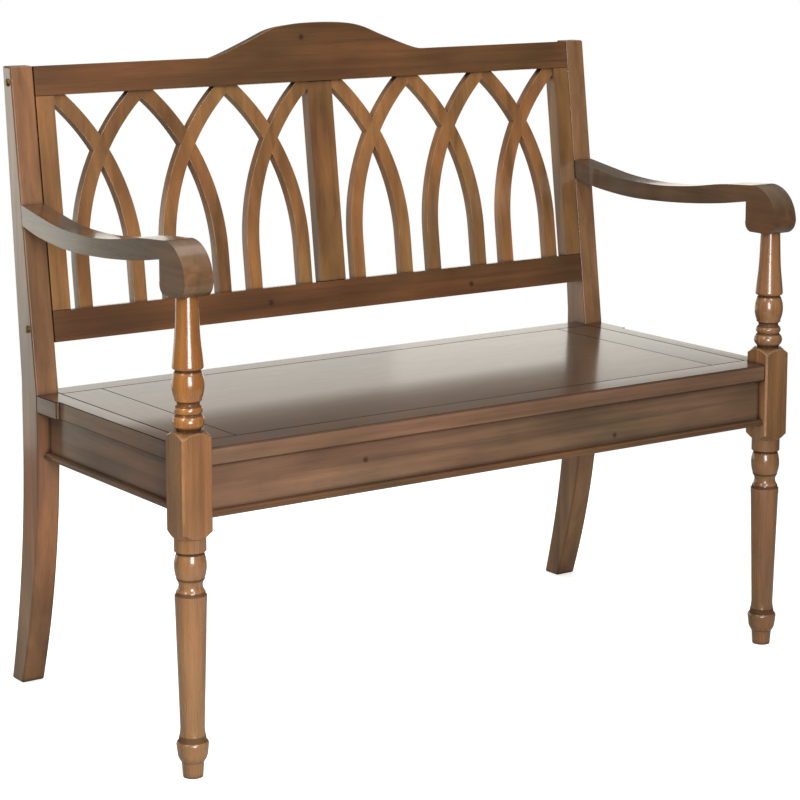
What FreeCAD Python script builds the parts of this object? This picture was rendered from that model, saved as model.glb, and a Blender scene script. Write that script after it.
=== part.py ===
import FreeCAD, Part

import math
import os

import Sketcher

# A hall pew with arms, in millimetres, +Z up.
# The front faces -Y, the floor is Z = 0, and the origin is the middle of the footprint.
# Inside a piece, y is measured back from the axis of the front legs.

DRIVING = {
    # overall
    "overall_width": 1078,
    "overall_depth": 550,
    "seat_height": 450,
    # front legs
    "leg_block": 46,
    "leg_radius": 21.6,
    "block_low": 330,
    "block_high": 474,
    # arms
    "arm_width": 43,
    "arm_under": 652,
    "drum_reach": 32,
    # rear legs
    "post_outer": 528,
    "post_wide": 36,
    "post_front": 415,
    "post_deep": 49,
    "post_top_deep": 25,
    "post_top": 921,
    "sabre_height": 400,
    "sabre_front": 69,
    "sabre_rear": 54,
    # seat and aprons
    "seat_thick": 25,
    "seat_overhang": 19,
    "seat_edge": 522,
    "front_strip_back": 27.5,
    "rear_strip_front": 408,
    "rear_strip_back": 447,
    "cleat_wide": 66,
    "apron_thick": 18,
    "apron_low": 354,
    "apron_front": 6.5,
    "side_apron_outer": 508,
    "bead_size": 9.5,
    # back frame, measured up the leaning back from seat height
    "back_lean": 7.3,
    "frame_thick": 22,
    "low_rail_bottom": 73.5,
    "low_rail_top": 119,
    "top_rail_bottom": 431.5,
    "shoulder_rise": 474.5,
    "crest_rise": 522.5,
    "crest_reach": 205,
    "stile_wide": 30,
    "muntin_wide": 45,
    # lattice
    "slat_wide": 22.5,
    "slat_thick": 16,
    "slat_setback": 4,
    "slat_foot": 45.5,
    "slat_bend": 335,
    "slat_straight": 179,
}

SHEET = "Dimensions"
SIDES = (("left", -1), ("right", 1))

# Small sizes shared by many joints
FIT = 0.2
SEAM = 0.8
TENON_LONG = 12
TENON_THICK = 8
STILE_TENON_HALF = 9
MUNTIN_TENON_HALF = 15
# How far a cutting shape passes beyond the face it starts from
PAST = 1


class Dim:
    """A length held both as a number and as an expression on the spreadsheet."""

    def __init__(self, value, text=None):
        self.value = float(value)
        self.text = text or f"({self.value:.6g})"

    def __add__(self, other):
        return Dim(self.value + dim(other).value, f"({self.text} + {dim(other).text})")

    def __sub__(self, other):
        return Dim(self.value - dim(other).value, f"({self.text} - {dim(other).text})")

    def __mul__(self, other):
        return Dim(self.value * dim(other).value, f"({self.text} * {dim(other).text})")

    def __truediv__(self, other):
        return Dim(self.value / dim(other).value, f"({self.text} / {dim(other).text})")

    def __radd__(self, other):
        return dim(other) + self

    def __rsub__(self, other):
        return dim(other) - self

    def __rmul__(self, other):
        return dim(other) * self

    def __neg__(self):
        return dim(0) - self

    def root(self):
        return Dim(math.sqrt(self.value), f"sqrt({self.text})")


def dim(size):
    """Any size as a Dim."""
    return size if isinstance(size, Dim) else Dim(size)


def make_sheet(doc):
    """The spreadsheet of driving dimensions."""
    sheet = doc.addObject("Spreadsheet::Sheet", SHEET)
    for row, (name, value) in enumerate(DRIVING.items(), start=1):
        sheet.set(f"A{row}", name)
        sheet.set(f"B{row}", str(value))
        sheet.setAlias(f"B{row}", name)
    doc.recompute()


def size(name):
    """A driving dimension by its name."""
    return Dim(DRIVING[name], f"{SHEET}.{name}")


def place(item, x, y, z):
    """Binds where an object stands."""
    for axis, value in zip("xyz", (x, y, z)):
        item.setExpression(f".Placement.Base.{axis}", dim(value).text)


# ---------------------------------------------------------------- sketches and features


def new_body(doc, label, x=0, z=0):
    """An empty body that stands on the line of the front legs."""
    body = doc.addObject("PartDesign::Body", label)
    body.Label = label
    place(body, x, LEG_Y, z)
    return body


def new_sketch(body, role, offset):
    """A sketch on one of the body's origin planes, moved along that plane's normal."""
    sketch = body.newObject("Sketcher::SketchObject", f"{body.Name}_sketch")
    plane = next(item for item in body.Origin.OriginFeatures if item.Role == role)
    sketch.AttachmentSupport = (plane, [""])
    sketch.MapMode = "FlatFace"
    sketch.setExpression(".AttachmentOffset.Base.z", dim(offset).text)
    return sketch


def vector(point):
    return FreeCAD.Vector(dim(point[0]).value, dim(point[1]).value, 0)


def pin(sketch, index, end, point):
    """Ties one end of a curve to its place with two bound distances."""
    for kind, value in zip(("DistanceX", "DistanceY"), point):
        rule = Sketcher.Constraint(kind, -1, 1, index, end, dim(value).value)
        number = sketch.addConstraint(rule)
        sketch.setExpression(f"Constraints[{number}]", dim(value).text)


def draw(sketch, start, steps):
    """A closed outline. A step is a point, or a list of points that a curve passes through.

    A list of two points is an arc through the first to the second.
    """
    here = start
    ends = []
    last = steps[-1][-1] if isinstance(steps[-1], list) else steps[-1]
    closing = [] if vector(last).isEqual(vector(start), 1e-6) else [start]
    for step in steps + closing:
        through = step if isinstance(step, list) else [step]
        points = [vector(here)] + [vector(point) for point in through]
        if len(points) == 2:
            curve = Part.LineSegment(*points)
        elif len(points) == 3:
            curve = Part.Arc(*points)
        else:
            curve = Part.BSplineCurve()
            curve.interpolate(points)
        index = sketch.addGeometry(curve, False)
        first = 1 if sketch.getPoint(index, 1).distanceToPoint(points[0]) < 0.001 else 2
        pin(sketch, index, first, here)
        ends.append((index, first))
        here = through[-1]
    for (index, first), (following, following_first) in zip(ends, ends[1:] + ends[:1]):
        joint = Sketcher.Constraint("Coincident", index, 3 - first, following, following_first)
        sketch.addConstraint(joint)


def draw_box(sketch, low, high):
    draw(sketch, low, [(high[0], low[1]), high, (low[0], high[1])])


def extrude(body, kind, sketch, length, reverse=False):
    """A pad or pocket of one sketch."""
    feature = body.newObject(f"PartDesign::{kind}", f"{body.Name}_{kind.lower()}")
    feature.Profile = sketch
    feature.Reversed = reverse
    feature.setExpression("Length", dim(length).text)
    sketch.Visibility = False
    return feature


def add_box(body, first, second):
    """A rectangular block between two opposite corners, the lower one first."""
    sketch = new_sketch(body, "XY_Plane", first[2])
    draw_box(sketch, first[:2], second[:2])
    return extrude(body, "Pad", sketch, second[2] - dim(first[2]))


def cut_box(body, first, second):
    """A rectangular mortise between two opposite corners, the lower one first."""
    sketch = new_sketch(body, "XY_Plane", first[2])
    draw_box(sketch, first[:2], second[:2])
    return extrude(body, "Pocket", sketch, second[2] - dim(first[2]), reverse=True)


def cut_hole(body, axis, spot, radius, start, end):
    """A round hole along X, Y or Z from one coordinate to another, at a spot across it."""
    start, end = sorted((dim(start), dim(end)), key=lambda place: place.value)
    role, offset = {
        "x": ("YZ_Plane", start),
        "y": ("XZ_Plane", -start),
        "z": ("XY_Plane", start),
    }[axis]
    sketch = new_sketch(body, role, offset)
    circle = Part.Circle(vector(spot), FreeCAD.Vector(0, 0, 1), dim(radius).value)
    index = sketch.addGeometry(circle, False)
    pin(sketch, index, 3, spot)
    rule = sketch.addConstraint(Sketcher.Constraint("Radius", index, dim(radius).value))
    sketch.setExpression(f"Constraints[{rule}]", dim(radius).text)
    return extrude(body, "Pocket", sketch, end - start, reverse=(axis != "y"))


def turn(body, kind, start, steps):
    """A revolution or groove round the body's own Z axis."""
    sketch = new_sketch(body, "XZ_Plane", 0)
    draw(sketch, start, steps)
    feature = body.newObject(f"PartDesign::{kind}", f"{body.Name}_{kind.lower()}")
    feature.Profile = sketch
    feature.ReferenceAxis = (sketch, ["V_Axis"])
    feature.Angle = 360
    sketch.Visibility = False


def chamfer_long_edges(doc, body, length, amount):
    """A chamfer on every edge of the given length."""
    doc.recompute()
    base = body.Tip
    edges = enumerate(base.Shape.Edges, start=1)
    names = [f"Edge{number}" for number, edge in edges if abs(edge.Length - length) < 0.1]
    feature = body.newObject("PartDesign::Chamfer", f"{body.Name}_chamfer")
    feature.Base = (base, names)
    feature.Size = amount


# ---------------------------------------------------------------- places shared by pieces

LEG_X = (size("overall_width") - size("leg_block")) / 2
LEG_Y = size("drum_reach") - size("overall_depth") / 2
HALF_BLOCK = size("leg_block") / 2
BLOCK_INNER = LEG_X - HALF_BLOCK
POST_INNER = size("post_outer") - size("post_wide")
POST_FRONT = size("post_front")
SEAT_TOP = size("seat_height")
SEAT_UNDER = SEAT_TOP - size("seat_thick")

# Where an apron's tenon stops short of its lower and upper edges, and its inset on the sides
TENON_LOWER_SHOULDER = 14
TENON_UPPER_SHOULDER = 12
SIDE_TENON_INSET = 8

APRON_LOW = size("apron_low")
APRON_INNER_X = size("side_apron_outer") - size("apron_thick")
FRONT_APRON_FACE = -size("apron_front")
FRONT_APRON_BACK = FRONT_APRON_FACE + size("apron_thick")
REAR_APRON_BACK = size("rear_strip_back")
REAR_APRON_FACE = REAR_APRON_BACK - size("apron_thick")
# The inner faces of the long aprons, each with the way into the seat frame
FRAME_ENDS = ((FRONT_APRON_BACK, 1), (REAR_APRON_FACE, -1))
APRON_TENON_LOW = APRON_LOW + TENON_LOWER_SHOULDER
APRON_TENON_HIGH = SEAT_UNDER - TENON_UPPER_SHOULDER
FRONT_TENON_Y = FRONT_APRON_FACE + size("apron_thick") / 2
REAR_TENON_Y = REAR_APRON_FACE + size("apron_thick") / 2
SIDE_TENON_X = size("side_apron_outer") - SIDE_TENON_INSET

LEAN = math.radians(DRIVING["back_lean"])
FRAME_MIDDLE = size("frame_thick") / 2
LOW_RAIL_MIDDLE = (size("low_rail_bottom") + size("low_rail_top")) / 2
TOP_RAIL_MIDDLE = (size("top_rail_bottom") + size("shoulder_rise")) / 2

DOWEL_RADIUS = 5
DOWEL_LONG = 40
DOWEL_Y = POST_FRONT + 15
DOWEL_Z = 709
BOLT_RADIUS = 3
BOLT_LONG = 75
BOLT_HEAD = 5.6
BOLT_RIM_TALL = 1.2
BOLT_CROWN = 3.92
BOLT_CROWN_TALL = 2.6
SCREW_RADIUS = 2
SCREW_LONG = 30
SCREW_HEAD = 4
SCREW_HEAD_TALL = 3
SCREW_SUNK = 6
SCREW_GRIP = 14


def on_back(rise, depth):
    """The y and z of a point, from its rise up the back and its depth behind the face."""
    y = POST_FRONT + rise * math.sin(LEAN) + depth * math.cos(LEAN)
    z = SEAT_TOP + rise * math.cos(LEAN) - depth * math.sin(LEAN)
    return y, z


def mortise(first, second):
    """Two opposite corners put in order and opened out by the joint's clearance."""
    pairs = [sorted((dim(a), dim(b)), key=lambda v: v.value) for a, b in zip(first, second)]
    return tuple(low - FIT for low, high in pairs), tuple(high + FIT for low, high in pairs)


# ---------------------------------------------------------------- front legs

# The turning below the block, from the floor up: height and radius.
# A pair in a list is the crown of an arc and its end.
LOWER_TURNING = [
    (21, 15.2),
    [(26.5, 18.8), (34, 20.6)],
    (44, 21.8),
    [(48.6, 21.2), (51, 18.7)],
    (56, 18.2),
    [(63, 16.9), (73, 16.6)],
    (240, 21.2),
    (244, 21.6),
    (251, 21.6),
    (252.5, 19.7),
    (256, 19.7),
    [(264.5, 16.1), (273, 19.1)],
    (275, 19.2),
    [(291, 21.8), (307, 19.2)],
    (308.5, 18.3),
    (311.5, 21.6),
    (331, 21.6),
]

# The spindle above the block, from the block up: height above the floor and radius
UPPER_TURNING = [
    (473, 18.6),
    (474.5, 16.4),
    (477, 17.2),
    [(486, 21.6), (494.5, 17.4)],
    (496, 16.6),
    [(501.5, 19), (507, 15.8)],
    (509, 15),
    (511.5, 15.2),
    (514, 18.2),
    (517, 18.4),
    [(534.5, 21.8), (551.5, 18.4)],
    (553.5, 16.8),
    (555, 16.9),
    [(556.8, 20.3), (560, 21)],
    [(575, 19.6), (605, 16.8), (652, 15)],
]

SPIGOT_RADIUS = 9
SPIGOT_TALL = 22

BLOCK_CHAMFER = 3
# Beyond the block's corners, in half widths of the block
CLEAR_OF_CORNER = 1.45
# The turned slopes at the block's two ends: how tall, and how deep the upper one goes
LOWER_SLOPE = 11
UPPER_SLOPE = 10
UPPER_SLOPE_DEEP = 3


def turned(pair):
    """A height and radius as a sketch point, the radius tied to the leg's own."""
    height, radius = pair
    share = radius / DRIVING["leg_radius"]
    return size("leg_radius") * share, dim(height)


def turned_step(step):
    return [turned(pair) for pair in step] if isinstance(step, list) else turned(step)


def front_leg(doc, name, side):
    """A turned leg and spindle in one piece, square where the aprons join it."""
    body = new_body(doc, f"front_leg_{name}", side * LEG_X)
    low = size("block_low")
    high = size("block_high")
    add_box(body, (-HALF_BLOCK, -HALF_BLOCK, low), (HALF_BLOCK, HALF_BLOCK, high))
    chamfer_long_edges(doc, body, DRIVING["block_high"] - DRIVING["block_low"], BLOCK_CHAMFER)
    corner = HALF_BLOCK * CLEAR_OF_CORNER
    waist = size("leg_radius")
    start = (waist, low - PAST)
    turn(body, "Groove", start, [(corner, low - PAST), (corner, low + LOWER_SLOPE)])
    start = (waist - UPPER_SLOPE_DEEP, high + PAST)
    turn(body, "Groove", start, [(corner, high - UPPER_SLOPE), (corner, high + PAST)])
    top = size("arm_under")
    steps = [turned((0, LOWER_TURNING[0][1]))]
    steps += [turned_step(step) for step in LOWER_TURNING + UPPER_TURNING]
    steps += [(SPIGOT_RADIUS, top), (SPIGOT_RADIUS, top + SPIGOT_TALL), (0, top + SPIGOT_TALL)]
    turn(body, "Revolution", (0, 0), steps)
    inner = -side * HALF_BLOCK
    low_corner = (inner + side * TENON_LONG, FRONT_TENON_Y - TENON_THICK / 2, APRON_TENON_LOW)
    high_corner = (inner - side, FRONT_TENON_Y + TENON_THICK / 2, APRON_TENON_HIGH)
    cut_box(body, *mortise(low_corner, high_corner))
    tenon_x = side * (SIDE_TENON_X - LEG_X)
    low_corner = (tenon_x - TENON_THICK / 2, HALF_BLOCK - TENON_LONG, APRON_TENON_LOW)
    high_corner = (tenon_x + TENON_THICK / 2, HALF_BLOCK + PAST, APRON_TENON_HIGH)
    cut_box(body, *mortise(low_corner, high_corner))


# ---------------------------------------------------------------- rear legs

# The rear of a post starts to lean this far above the seat
POST_BEND_RISE = 20


def sabre(sweep):
    """How far back a sabre curve has gone half way down, for its sweep at the floor."""
    drop = DRIVING["sabre_height"]
    bend = (drop**2 + sweep**2) / (2 * sweep)
    return bend - math.sqrt(bend**2 - (drop / 2) ** 2)


def rear_leg(doc, name, side):
    """A sawn leg: a sabre curve to the floor, and a leaning, tapering post above the seat."""
    left_face = -size("post_outer") if side < 0 else POST_INNER
    body = new_body(doc, f"rear_leg_{name}", left_face)
    knee = size("sabre_height")
    rear = POST_FRONT + size("post_deep")
    top_front = POST_FRONT + (size("post_top") - SEAT_TOP) * math.tan(LEAN)
    front_middle = (POST_FRONT + sabre(DRIVING["sabre_front"]), knee / 2)
    rear_middle = (rear + sabre(DRIVING["sabre_rear"]), knee / 2)
    sketch = new_sketch(body, "YZ_Plane", 0)
    draw(
        sketch,
        (POST_FRONT + size("sabre_front"), 0),
        [
            [front_middle, (POST_FRONT, knee)],
            (POST_FRONT, SEAT_TOP),
            (top_front, size("post_top")),
            (top_front + size("post_top_deep"), size("post_top")),
            (rear, SEAT_TOP + POST_BEND_RISE),
            (rear, knee),
            [rear_middle, (rear + size("sabre_rear"), 0)],
        ],
    )
    extrude(body, "Pad", sketch, size("post_wide"))
    cut_side_mortise(body, side * SIDE_TENON_X - left_face)
    cut_rear_mortise(body, side)
    for rise in (LOW_RAIL_MIDDLE, TOP_RAIL_MIDDLE):
        spot = on_back(rise, FRAME_MIDDLE)
        cut_hole(body, "x", spot, BOLT_RADIUS + FIT, -PAST, size("post_wide") + PAST)
    spot = (size("post_wide") / 2, DOWEL_Z)
    cut_hole(body, "y", spot, DOWEL_RADIUS + FIT, DOWEL_Y - PAST, DOWEL_Y + DOWEL_LONG + FIT)


def cut_side_mortise(body, x):
    """The mortise in a rear leg's front face for a side apron."""
    low_corner = (x - TENON_THICK / 2, POST_FRONT - PAST, APRON_TENON_LOW)
    high_corner = (x + TENON_THICK / 2, POST_FRONT + TENON_LONG, APRON_TENON_HIGH)
    cut_box(body, *mortise(low_corner, high_corner))


def cut_rear_mortise(body, side):
    """The mortise in a rear leg's inner face for the rear apron."""
    inner = size("post_wide") if side < 0 else dim(0)
    low_corner = (inner + side * TENON_LONG, REAR_TENON_Y - TENON_THICK / 2, APRON_TENON_LOW)
    high_corner = (inner - side, REAR_TENON_Y + TENON_THICK / 2, APRON_TENON_HIGH)
    cut_box(body, *mortise(low_corner, high_corner))


# ---------------------------------------------------------------- arms

ARM_BACK_LOW = 694
ARM_BACK_HIGH = 724
ARM_TOP = 723.5
# Points on the arm's upper and lower edges: y and height
ARM_TOP_CURVE = [
    (394, 714.5),
    (345, 707),
    (290, 703),
    (225, 703.5),
    (157, 709.5),
    (90, 719),
    (28, ARM_TOP),
]
ARM_LOW_CURVE = [(90, 689), (157, 682), (230, 677.5), (308, 676.5), (391, 683.5)]
DRUM_FRONT = -15
DRUM_BACK = 33.5
DRUM_CORNER = 11
DRUM_CORNER_TALL = 17
DRUM_BACK_TALL = 45.5
DRUM_NOSE_TALL = 27

# How far the saw's waste reaches past the arm in front, behind and to the sides, and its height
WASTE_FRONT = 60
WASTE_BACK = 60
WASTE_MARGIN = 30
WASTE_SIDE = 100
WASTE_LOW = 50
WASTE_TALL = 200


def post_face(height):
    """The y of the rear legs' front face at a height above the seat."""
    return POST_FRONT + (height - SEAT_TOP) * math.tan(LEAN)


def arm(doc, name, side):
    """A sawn arm, swept along its length, with a rolled drum over the front leg."""
    body = new_body(doc, f"arm_{name}", side * LEG_X)
    under = size("arm_under")
    reach = size("drum_reach")
    sketch = new_sketch(body, "YZ_Plane", -size("arm_width"))
    draw(
        sketch,
        (DRUM_FRONT, under),
        [
            (DRUM_BACK - DRUM_CORNER, under),
            [(DRUM_BACK - 2.5, under + 5), (DRUM_BACK, under + DRUM_CORNER_TALL)],
            (DRUM_BACK, under + DRUM_BACK_TALL),
            ARM_LOW_CURVE + [(post_face(ARM_BACK_LOW), ARM_BACK_LOW)],
            (post_face(ARM_BACK_HIGH), ARM_BACK_HIGH),
            ARM_TOP_CURVE,
            [(-14, 711.5), (-reach, under + DRUM_NOSE_TALL)],
            [(-28, under + 8), (DRUM_FRONT, under)],
        ],
    )
    extrude(body, "Pad", sketch, size("arm_width") * 2)
    trim_arm_plan(body, side)
    cut_hole(body, "z", (0, 0), SPIGOT_RADIUS + FIT, under - PAST, under + SPIGOT_TALL + FIT)
    spot = (side * (size("post_outer") - size("post_wide") / 2 - LEG_X), DOWEL_Z)
    cut_hole(body, "y", spot, DOWEL_RADIUS + FIT, DOWEL_Y - FIT, DOWEL_Y + DOWEL_LONG)


def trim_arm_plan(body, side):
    """Saws the arm to its plan: full width at the drum, the post's width at the back."""
    half = size("arm_width") / 2
    outer_back = side * (size("post_outer") - LEG_X)
    inner_back = side * (POST_INNER - LEG_X)
    far = POST_FRONT + WASTE_BACK
    sketch = new_sketch(body, "XY_Plane", size("arm_under") - WASTE_LOW)
    draw(
        sketch,
        (side * half, -WASTE_FRONT),
        [
            (side * half, DRUM_BACK),
            (outer_back, far),
            (inner_back, far),
            (-side * half, DRUM_BACK),
            (-side * half, -WASTE_FRONT),
        ],
    )
    waste_front = -WASTE_FRONT - WASTE_MARGIN
    draw_box(sketch, (-WASTE_SIDE, waste_front), (WASTE_SIDE, far + WASTE_MARGIN))
    extrude(body, "Pocket", sketch, WASTE_TALL, reverse=True)


# ---------------------------------------------------------------- aprons and beads


def front_apron(doc):
    body = new_body(doc, "front_apron")
    low_corner = (-BLOCK_INNER, FRONT_APRON_FACE, APRON_LOW)
    add_box(body, low_corner, (BLOCK_INNER, FRONT_APRON_BACK, SEAT_UNDER))
    add_end_tenons(body, BLOCK_INNER, FRONT_TENON_Y)
    cut_batten_mortises(body, FRONT_APRON_BACK, -1)
    cut_apron_pilots(body, FRONT_APRON_BACK, -1)


def rear_apron(doc):
    body = new_body(doc, "rear_apron")
    low_corner = (-POST_INNER, REAR_APRON_FACE, APRON_LOW)
    add_box(body, low_corner, (POST_INNER, REAR_APRON_BACK, SEAT_UNDER))
    add_end_tenons(body, POST_INNER, REAR_TENON_Y)
    cut_batten_mortises(body, REAR_APRON_FACE, 1)
    cut_apron_pilots(body, REAR_APRON_FACE, 1)


def add_end_tenons(body, half_length, y):
    """One tongue right through a long apron, showing as a tenon at each end."""
    reach = half_length + TENON_LONG
    near = y - TENON_THICK / 2
    far = y + TENON_THICK / 2
    add_box(body, (-reach, near, APRON_TENON_LOW), (reach, far, APRON_TENON_HIGH))


def cut_batten_mortises(body, face, inward):
    """The stub mortises that hold the seat battens."""
    half = BATTEN_TENON_WIDE / 2
    tip = face + inward * BATTEN_TENON_LONG
    for side in (-1, 1):
        x = side * BATTEN_X
        low_corner = (x - half, face - inward * PAST, BATTEN_TENON_LOW)
        cut_box(body, *mortise(low_corner, (x + half, tip, BATTEN_TENON_HIGH)))


def cut_apron_pilots(body, face, inward):
    """Pilot holes for the corner block screws that run along Y."""
    start = face - inward * PAST
    tip = face + inward * (SCREW_GRIP + FIT)
    for side in (-1, 1):
        spot = (side * (APRON_INNER_X - SCREW_INSET), SCREW_HIGH)
        cut_hole(body, "y", spot, SCREW_RADIUS + FIT, start, tip)


def side_apron(doc, name, side):
    body = new_body(doc, f"side_apron_{name}")
    outer = side * size("side_apron_outer")
    add_box(body, (outer, HALF_BLOCK, APRON_LOW), (side * APRON_INNER_X, POST_FRONT, SEAT_UNDER))
    middle = side * SIDE_TENON_X
    low_corner = (middle - TENON_THICK / 2, HALF_BLOCK - TENON_LONG, APRON_TENON_LOW)
    high_corner = (middle + TENON_THICK / 2, POST_FRONT + TENON_LONG, APRON_TENON_HIGH)
    add_box(body, low_corner, high_corner)
    inner = side * APRON_INNER_X
    start = inner - side * PAST
    tip = inner + side * (SCREW_GRIP + FIT)
    for corner_y, inward in FRAME_ENDS:
        spot = (corner_y + inward * SCREW_INSET, SCREW_LOW)
        cut_hole(body, "x", spot, SCREW_RADIUS + FIT, start, tip)


def bead_profile(face, outward):
    """A bead's outline against an apron's face: across first, then height."""
    reach = size("bead_size")
    nose = face + outward * reach
    neck = face + outward * reach / 2
    return (face, APRON_LOW), [
        (neck, APRON_LOW),
        [(nose, APRON_LOW + reach / 2), (neck, APRON_LOW + reach)],
        (face, APRON_LOW + reach),
    ]


def front_bead(doc):
    body = new_body(doc, "front_bead")
    sketch = new_sketch(body, "YZ_Plane", -BLOCK_INNER)
    draw(sketch, *bead_profile(FRONT_APRON_FACE, -1))
    extrude(body, "Pad", sketch, BLOCK_INNER * 2)


def side_bead(doc, name, side):
    body = new_body(doc, f"side_bead_{name}")
    sketch = new_sketch(body, "XZ_Plane", -HALF_BLOCK)
    draw(sketch, *bead_profile(side * size("side_apron_outer"), side))
    extrude(body, "Pad", sketch, POST_FRONT - HALF_BLOCK, reverse=True)


# ---------------------------------------------------------------- seat

CLEAT_OUTER = BLOCK_INNER - SEAM
CLEAT_INNER = CLEAT_OUTER - size("cleat_wide")
PANEL_FRONT = size("front_strip_back") + SEAM / 2
PANEL_BACK = size("rear_strip_front") - SEAM / 2
TONGUE_LOW = SEAT_TOP - size("seat_thick") * 2 / 3
TONGUE_HIGH = SEAT_TOP - size("seat_thick") / 3
END_STEP = POST_FRONT - 60  # where a board by the arm widens to the post's outer face

BATTEN_X = size("overall_width") / 5
BATTEN_WIDE = 45
BATTEN_TALL = 22
BATTEN_LOW = SEAT_UNDER - BATTEN_TALL
BATTEN_TENON_WIDE = 30
BATTEN_TENON_LONG = 8
BATTEN_TENON_LOW = BATTEN_LOW + BATTEN_TALL / 4
BATTEN_TENON_HIGH = BATTEN_LOW + BATTEN_TALL * 3 / 4
SEAT_SCREW_YS = [POST_FRONT * share for share in (0.15, 0.5, 0.85)]
SEAT_SCREW_SEAT = BATTEN_LOW + SCREW_SUNK


def front_strip(doc):
    body = new_body(doc, "seat_front_strip")
    back = size("front_strip_back") - SEAM / 2
    add_box(body, (-BLOCK_INNER, -size("seat_overhang"), SEAT_UNDER), (BLOCK_INNER, back, SEAT_TOP))


def rear_strip(doc):
    body = new_body(doc, "seat_rear_strip")
    front = size("rear_strip_front") + SEAM / 2
    back = size("rear_strip_back")
    add_box(body, (-POST_INNER, front, SEAT_UNDER), (POST_INNER, back, SEAT_TOP))


def end_board(doc, name, side):
    """A board from the leg block to the post, a little wider where it meets the post."""
    body = new_body(doc, f"seat_end_{name}")
    sketch = new_sketch(body, "XY_Plane", SEAT_UNDER)
    inner = side * BLOCK_INNER
    edge = side * size("seat_edge")
    ear = side * size("post_outer")
    draw(
        sketch,
        (inner, HALF_BLOCK),
        [(edge, HALF_BLOCK), (edge, END_STEP), (ear, END_STEP), (ear, POST_FRONT), (inner, POST_FRONT)],
    )
    extrude(body, "Pad", sketch, size("seat_thick"))


def cleat(doc, name, side):
    """A breadboard end, grooved for the panel's tongue."""
    body = new_body(doc, f"seat_cleat_{name}")
    inner = side * CLEAT_INNER
    add_box(body, (inner, PANEL_FRONT, SEAT_UNDER), (side * CLEAT_OUTER, PANEL_BACK, SEAT_TOP))
    low_corner = (inner - side * PAST, PANEL_FRONT - PAST, TONGUE_LOW)
    high_corner = (inner + side * TENON_LONG, PANEL_BACK + PAST, TONGUE_HIGH)
    cut_box(body, *mortise(low_corner, high_corner))


def centre_panel(doc):
    body = new_body(doc, "seat_centre_panel")
    reach = CLEAT_INNER - FIT
    add_box(body, (-reach, PANEL_FRONT, SEAT_UNDER), (reach, PANEL_BACK, SEAT_TOP))
    reach = CLEAT_INNER + TENON_LONG
    add_box(body, (-reach, PANEL_FRONT, TONGUE_LOW), (reach, PANEL_BACK, TONGUE_HIGH))
    tip = SEAT_SCREW_SEAT + SCREW_LONG + FIT
    for side in (-1, 1):
        for y in SEAT_SCREW_YS:
            spot = (side * BATTEN_X, y)
            cut_hole(body, "z", spot, SCREW_RADIUS + FIT, SEAT_UNDER - PAST, tip)


def batten(doc, name, side):
    """A bearer under the seat, stub-tenoned into the front and rear aprons."""
    body = new_body(doc, f"seat_batten_{name}", side * BATTEN_X)
    half = BATTEN_WIDE / 2
    add_box(body, (-half, FRONT_APRON_BACK, BATTEN_LOW), (half, REAR_APRON_FACE, SEAT_UNDER))
    half = BATTEN_TENON_WIDE / 2
    low_corner = (-half, FRONT_APRON_BACK - BATTEN_TENON_LONG, BATTEN_TENON_LOW)
    high_corner = (half, REAR_APRON_FACE + BATTEN_TENON_LONG, BATTEN_TENON_HIGH)
    add_box(body, low_corner, high_corner)
    for y in SEAT_SCREW_YS:
        cut_hole(body, "z", (0, y), SCREW_RADIUS + FIT, BATTEN_LOW - PAST, SEAT_UNDER + PAST)
        cut_hole(body, "z", (0, y), SCREW_HEAD + FIT, BATTEN_LOW - PAST, SEAT_SCREW_SEAT)


# ---------------------------------------------------------------- corner blocks

CORNER_LEG = 50
CORNER_LIFT = 8
CORNER_LOW = APRON_LOW + CORNER_LIFT
CORNER_TALL = 50
SCREW_INSET = 18
SCREW_FROM_EDGE = 13
SCREW_LOW = CORNER_LOW + SCREW_FROM_EDGE
SCREW_HIGH = CORNER_LOW + CORNER_TALL - SCREW_FROM_EDGE
SCREW_SEAT = SCREW_LONG - SCREW_GRIP


def corner_block(doc, end, corner_y, inward, name, side):
    """A triangular block glued and screwed into one corner of the seat frame."""
    body = new_body(doc, f"corner_block_{end}_{name}")
    corner_x = side * APRON_INNER_X
    sketch = new_sketch(body, "XY_Plane", CORNER_LOW)
    across = (corner_x - side * CORNER_LEG, corner_y)
    along = (corner_x, corner_y + inward * CORNER_LEG)
    draw(sketch, (corner_x, corner_y), [across, along])
    extrude(body, "Pad", sketch, CORNER_TALL)
    across_screw = (corner_y + inward * SCREW_INSET, SCREW_LOW)
    along_screw = (corner_x - side * SCREW_INSET, SCREW_HIGH)
    seat_x = corner_x - side * SCREW_SEAT
    seat_y = corner_y + inward * SCREW_SEAT
    past_x = side * PAST
    past_y = inward * PAST
    cut_hole(body, "x", across_screw, SCREW_RADIUS + FIT, corner_x + past_x, seat_x - past_x)
    cut_hole(body, "x", across_screw, SCREW_HEAD + FIT, seat_x, seat_x - side * CORNER_LEG)
    cut_hole(body, "y", along_screw, SCREW_RADIUS + FIT, corner_y - past_y, seat_y + past_y)
    cut_hole(body, "y", along_screw, SCREW_HEAD + FIT, seat_y, seat_y + inward * CORNER_LEG)


# ---------------------------------------------------------------- back frame


def back_body(doc, label):
    """A body whose Z runs up the leaning back and whose Y runs through its thickness."""
    body = doc.addObject("PartDesign::Body", label)
    body.Label = label
    turn_back = FreeCAD.Rotation(FreeCAD.Vector(-1, 0, 0), DRIVING["back_lean"])
    body.Placement = FreeCAD.Placement(FreeCAD.Vector(), turn_back)
    body.setExpression(".Placement.Rotation.Angle", size("back_lean").text)
    place(body, 0, LEG_Y + POST_FRONT, SEAT_TOP)
    return body


STILE_INNER = POST_INNER - size("stile_wide")
MUNTIN_HALF = size("muntin_wide") / 2
LOW_RAIL_TOP = size("low_rail_top")
TOP_RAIL_BOTTOM = size("top_rail_bottom")
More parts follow.
